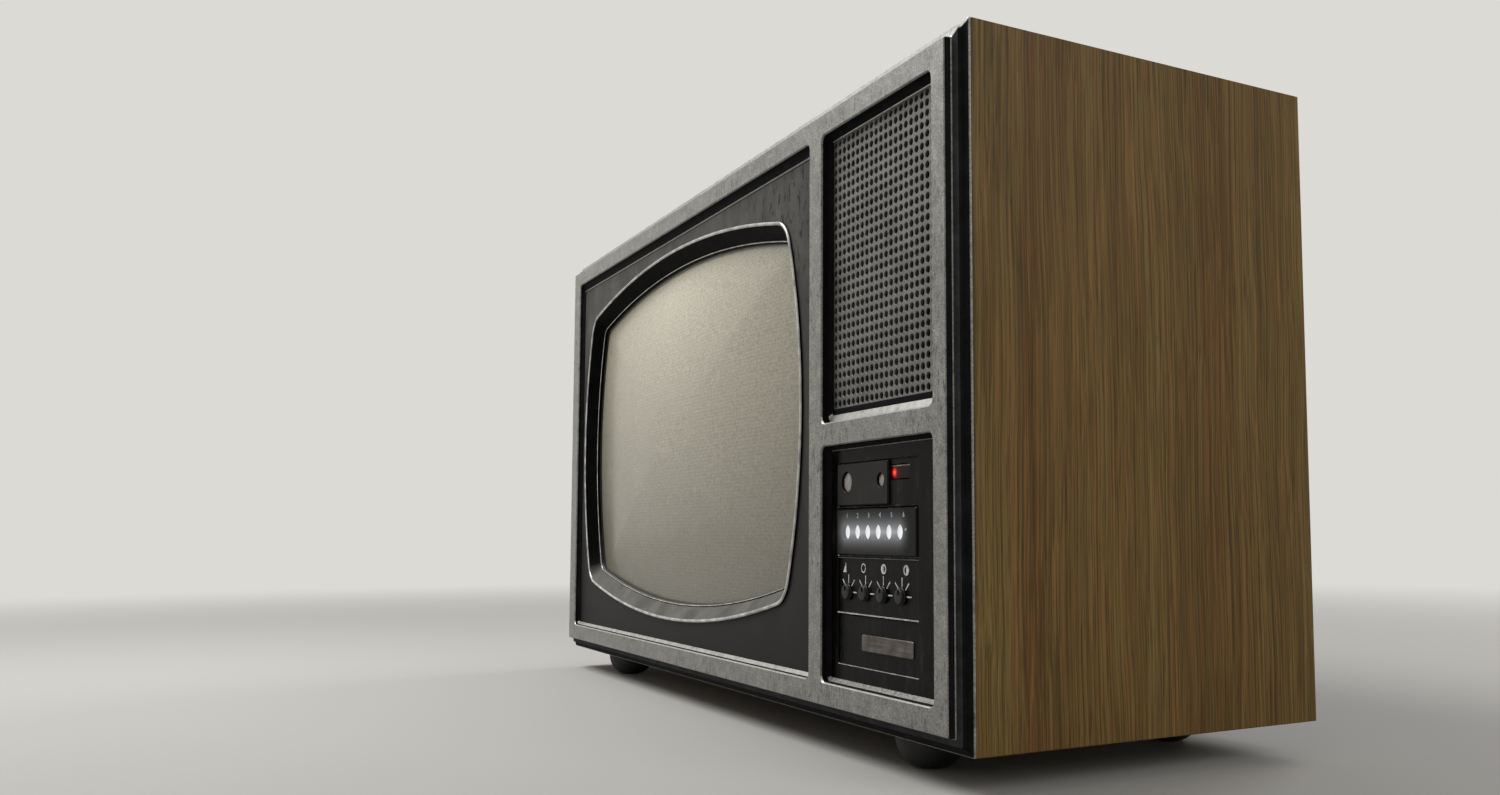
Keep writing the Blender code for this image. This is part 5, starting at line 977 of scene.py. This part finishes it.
def stroke(x0, z0, x1, z1, width):
    """A straight bar's outline from one point to another."""
    side = Vector((z0 - z1, x1 - x0)).normalized() * width / 2
    ends = ((x0, z0, 1), (x1, z1, 1), (x1, z1, -1), (x0, z0, -1))
    return [(x + side.x * way, z + side.y * way) for x, z, way in ends]


def add_printed_ring(shape, x, z, outer, inner):
    profile = [(outer, print_front), (inner, print_front), (inner, print_back), (outer, print_back)]
    add_wall(shape, add_rings(shape, partial(round_at, x, z, steps=28), profile), joined=True)


shape = bmesh.new()
for number in range(1, 7):
    letter = bpy.data.curves.new("digit", "FONT")
    letter.body = str(number)
    letter.size = 4.0 * MM
    letter.align_x, letter.align_y = "CENTER", "CENTER"
    letter.extrude = 0.03 * MM
    holder = bpy.data.objects.new("digit", letter)
    digit = bpy.data.meshes.new_from_object(holder)
    digit_spot = place(208.8 + 12.7 * number, program_plate_front - 0.04, 138.2)
    digit.transform(Matrix.Translation(digit_spot) @ Matrix.Rotation(math.pi / 2, 4, "X"))
    shape.from_mesh(digit)
    bpy.data.objects.remove(holder)
    bpy.data.curves.remove(letter)
    bpy.data.meshes.remove(digit)
tick_start, tick_width = 5, 0.75
for knob_x in knob_xs:
    for turn, far in ((180, 8.2), (135, 10.1), (90, 10.1), (45, 10.1), (0, 9.8)):
        across, up = math.cos(math.radians(turn)), math.sin(math.radians(turn))
        near_end = (knob_x + across * tick_start, knob_z + up * tick_start)
        add_print(shape, stroke(*near_end, knob_x + across * far, knob_z + up * far, tick_width))
sign_z = 108.8
loud_x, bright_x, contrast_x, tone_x = 214.6, 237.1, 259.9, 284.1
add_print(shape, [(loud_x - 1.9, sign_z - 2.8), (loud_x + 1.9, sign_z - 2.8), (loud_x + 1.9, sign_z + 3.0)])
add_printed_ring(shape, bright_x, sign_z, 2.7, 2.0)
disc_radius, half_turn = 1.85, [math.radians(turn) for turn in range(-90, 91, 15)]
for sign_x, side in ((contrast_x, -1), (tone_x, 1)):
    add_printed_ring(shape, sign_x, sign_z, 2.8, 1.9)
    half_disc = [(side * disc_radius * math.cos(turn), disc_radius * math.sin(turn)) for turn in half_turn]
    add_print(shape, [(sign_x + x, sign_z + z) for x, z in half_disc])
fit(settle(shape, "printed_marks", print_white), "pale_grey_plastic")

# Pin and nameplate: a small pin beside the programme buttons, whose bright finish is a painted highlight, and
# a bare plate of brushed aluminium in the lowest field, both pushed into the fascia. The plate is stained,
# and brushed along its length.
aluminium, add, here = new_finish("brushed_aluminium")
brush = add("Mapping", {"Vector": here, "Scale": repeats(30, 0.7, 0.7)})
strokes = add("TexNoise", {"Vector": brush, "Scale": 1.0, "Detail": 3.0})
stain = add("TexNoise", {"Vector": here, "Scale": repeats(8), "Detail": 4.0})
mixed = add("Math", (strokes, stain), operation="MULTIPLY")
colour = add("ValToRGB", (mixed,), [(0.12, "#46413e"), (0.25, "#625c58"), (0.4, "#78716c")])
seal(add, colour, (strokes, 0, 1, 0.28, 0.48), (strokes, 0.2, 0.06), {"Metallic": 1.0})
shape = bmesh.new()
nameplate = (236, 292, 62.7, 71.9)
nameplate_profile = [(-0.4, field_floor - 0.8), (0, field_floor - 0.5), (0, field_floor - 0.02)]
nameplate_profile = softened(nameplate_profile, 0.2, 3)
add_solid(shape, add_rings(shape, partial(rounded, nameplate, radius=1.2), nameplate_profile))
fit(settle(shape, "bare_nameplate", aluminium), "plated_steel")
shape = bmesh.new()
pin_x, pin_z, pin_foot = 288.0, 130.2, program_plate_front - 0.02
pin_profile = [(0.2, 0.9), (0.6, 0.8), (0.85, 0.5), (0.9, 0.2), (0.9, 0)]
add_turned(shape, pin_x, pin_z, [(radius, pin_foot - rise) for radius, rise in pin_profile], 20)
# Painted highlight: the pin has the highlight paint, so that it shows as a glint.
fit(settle(shape, "pin_with_painted_glint", highlight_paint), "plated_steel")

# Chassis: the printed boards with the parts that they carry, on a folded tray on the cabinet's floor, behind
# the slots of the back cover. The laminate is a mottled brown with faint tracks.
board_laminate, add, here = new_finish("brown_paper_laminate_board")
tracks = add("TexBrick", {"Vector": here, "Scale": repeats(60)}).outputs["Fac"]
weave = add("TexNoise", {"Vector": here, "Scale": repeats(2), "Detail": 4.0})
colour = add("ValToRGB", (weave,), [(0.3, "#5d4520"), (0.6, "#75592c"), (0.8, "#86683a")])
seal(add, colour, (weave, 0, 1, 0.35, 0.6), (tracks, 0.3, 0.1))
dress(board_laminate, "main_circuit_board", "indicator_board", "potentiometer_bank")
dress(zinc_steel, "tuner_box")
dress(gloss_black, "filter_capacitor")

# Back cover: a dark moulded plate screwed inside the cabinet's rear edge, with a tapered housing for the
# tube's neck and rows of cooling slots. A thin gill inside each slot keeps light and fingers from going
# straight in. The moulding has a fine spark texture that holds dust.
cover_plastic = weathered(
    "spark_textured_dark_plastic", (45, {"Detail": 6.0, "Roughness": 0.65}),
    [(0.3, "#262524"), (0.55, "#302f2d"), (0.8, "#454340")],
    rough=(0.48, 0.72), relief=(0.4, 0.15), grit=(1.1, {"Detail": 2.0}), sockets={"IOR": 1.54},
)
cover_front, cover_rear, set_depth = 242.7, 245.2, 330.3
cover_plate = (-332.7, 332.7, 32.3, 376.7)
aerial_x, aerial_z = 273, 107
inlet_box = (150, 176, 68, 86)
screw_spots = [(-325.2, 82), (325.2, 82), (-325.2, 327), (325.2, 327)]


def housing(share, grow, corner=16):
    """The housing's outline, from its base at share 0 to its end at share 1."""
    half_width, half_height = 150 - 65 * share, 110 - 40 * share
    box = (tube_x - half_width, tube_x + half_width, tube_z - half_height, tube_z + half_height)
    return rounded(box, grow, corner + grow, 8)


shape = bmesh.new()
plate_profile = softened([(0, cover_front), (0, cover_rear - 0.6), (-0.6, cover_rear)], 0.3, 3)
plate_rings = add_rings(shape, partial(rounded, cover_plate, radius=3), plate_profile)
add_wall(shape, plate_rings)
wall_depth = set_depth - cover_rear
outside = [(0, 2.4, 0), (0, 1.1, 0.5), (0, 0.35, 1.5)]
outside += [(share, grow, wall_depth * share) for share, grow in (
    (0.03, 0), (0.3, 0), (0.6, 0), (0.9, 0), (0.95, -0.4), (0.98, -1.3), (0.995, -2.8), (1.0, -5)
)]
outer_rings = []
for share, grow, rise in outside:
    outer_rings.append(add_ring(shape, upright(housing(share, grow), cover_rear + rise)))
add_solid(shape, outer_rings, ends=(-1,))
inner_rings = add_rings(shape, partial(housing, grow=-2.5), [(0, cover_front), (1, set_depth - 2.5)])
add_solid(shape, inner_rings, ends=(-1,))
rear_openings, front_openings = [outer_rings[0]], [inner_rings[0]]
slots = [(295 - 17 * i, z) for i in range(9) for z in (324, 262)]
slots += [(-295 + 17 * i, z) for i in range(3) for z in (324, 262)]
openings = [rounded((x - 3, x + 3, z - 23, z + 23), 0, 2.9) for x, z in slots]
openings += [round_at(x, z, 2.0, 20) for x, z in screw_spots]
openings += [round_at(aerial_x, aerial_z, 6.5), rounded(inlet_box, 0.3, 1)]
for opening in openings:
    middle_x = sum(x for x, _ in opening) / len(opening)
    middle_z = sum(z for _, z in opening) / len(opening)
    rings = []
    for ease, depth in ((0.5, cover_rear), (0.15, cover_rear - 0.2), (0, cover_rear - 0.5), (0, cover_front)):
        moved = []
        for x, z in opening:
            away = Vector((x - middle_x, z - middle_z)).normalized() * ease
            moved.append((x + away.x, z + away.y))
        rings.append(add_ring(shape, upright(moved, depth)))
    add_wall(shape, rings)
    rear_openings.append(rings[0])
    front_openings.append(rings[-1])
add_flat(shape, plate_rings[-1], *rear_openings)
add_flat(shape, plate_rings[0], *front_openings)
gill, gill_half_height = [(4.5, 0.1), (4.5, -0.9), (-6.5, -4.1), (-6.5, -3.1)], 27
for slot_x, slot_z in slots:
    gill_ends = [
        add_ring(shape, [place(slot_x + x, cover_front + depth, z) for x, depth in gill])
        for z in (slot_z - gill_half_height, slot_z + gill_half_height)
    ]
    add_solid(shape, gill_ends)
fit(settle(shape, "back_cover_moulded", cover_plastic), "dark_grey_plastic", "back_cover")

# Back cover screws: four zinc-plated steel screws with a cross recess in a pan head, driven through the plate
# into the battens.
shank, head_low = 1.7, cover_rear + 0.3
for number, (screw_x, screw_z) in enumerate(screw_spots, 1):
    screw = f"back_cover_screw_{number}"
    low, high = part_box(screw)
    screw_tip, head_top = (low.y - front_y) / MM, (high.y - front_y) / MM
    head = (high.x - low.x) / MM / 2
    head_profile = [(head * 0.62, head_top), (head, head_top - 0.9), (head, head_low), (shank, head_low)]
    head_profile = [*softened(head_profile, 0.5, 4), (shank, screw_tip)]
    shape = bmesh.new()
    rings = add_rings(shape, partial(round_at, screw_x, screw_z, steps=36), head_profile)
    add_solid(shape, rings, ends=(-1,))
    arm, half = head * 0.52, head * 0.11
    cross = [
        (half, half), (half, arm), (-half, arm), (-half, half), (-arm, half), (-arm, -half), (-half, -half),
        (-half, -arm), (half, -arm), (half, -half), (arm, -half), (arm, half),
    ]
    recess = [
        add_ring(shape, upright([(screw_x + x * size, screw_z + z * size) for x, z in cross], depth))
        for size, depth in ((1, head_top), (0.72, head_top - 1.2))
    ]
    add_solid(shape, recess, ends=(-1,))
    add_flat(shape, rings[0], recess[0])
    fit(settle(shape, screw + "_head", zinc_steel), "plated_steel", screw)

# Aerial socket: a plated coaxial socket with a flange, and a white insulator with a centre contact at the
# bottom of its bore.
for socket_name, socket_finish, socket_slot, replaced, socket_profile, ease, ease_steps, steps in (
    (
        "aerial_socket_barrel", zinc_steel, "plated_steel", ["aerial_socket"],
        [(4.75, -2), (4.75, 9), (6.2, 9), (6.2, 2.3), (9, 2.3), (9, 0.3), (6.2, 0.3), (6.2, -12)],
        0.35, 3, 48,
    ),
    (
        "aerial_socket_insulator", pale_plastic, "pale_grey_plastic", [],
        [(0.6, -0.2), (0.6, 2.4), (1.15, 2.6), (1.3, -0.4), (4.6, -0.5), (4.6, -1.9)],
        0.2, 2, 36,
    ),
):
    shape = bmesh.new()
    socket_profile = [(radius, cover_rear + rise) for radius, rise in socket_profile]
    add_turned(shape, aerial_x, aerial_z, softened(socket_profile, ease, ease_steps), steps)
    fit(settle(shape, socket_name, socket_finish), socket_slot, *replaced)

# Mains inlet: a brown phenolic socket with a flange round its recess and two plated pins, clipped into the
# cover. Its lead is separate, as on any set with a plug-in lead.
inlet_face, inlet_z = cover_rear + 2.3, (inlet_box[2] + inlet_box[3]) / 2
inlet_floor = inlet_face - 9
flange_back = cover_rear + 0.3
shape = bmesh.new()
inlet_profile = [(-3, inlet_floor), (-3, inlet_face), (3, inlet_face), (3, flange_back), (0, flange_back)]
inlet_profile = softened([*inlet_profile, (0, inlet_floor - 3)], 0.4, 3)
inlet_rings = add_rings(shape, lambda out: rounded(inlet_box, out, 3.4 + out * 0.6), inlet_profile)
add_solid(shape, inlet_rings, ends=(-1,))
pin_profile = softened([(1.3, inlet_floor), (1.3, inlet_face - 1.5), (0.7, inlet_face - 1)], 0.4, 3)
pin_roots = []
for pin_x in (158, 168):
    pin_rings = add_rings(shape, partial(round_at, pin_x, inlet_z, steps=24), pin_profile)
    add_solid(shape, pin_rings, finish=1, ends=(-1,))
    pin_roots.append(pin_rings[0])
add_flat(shape, inlet_rings[0], *pin_roots)
fit(settle(shape, "mains_inlet_moulded", brown_plastic, zinc_steel), "brown_moulded_plastic", "mains_inlet")
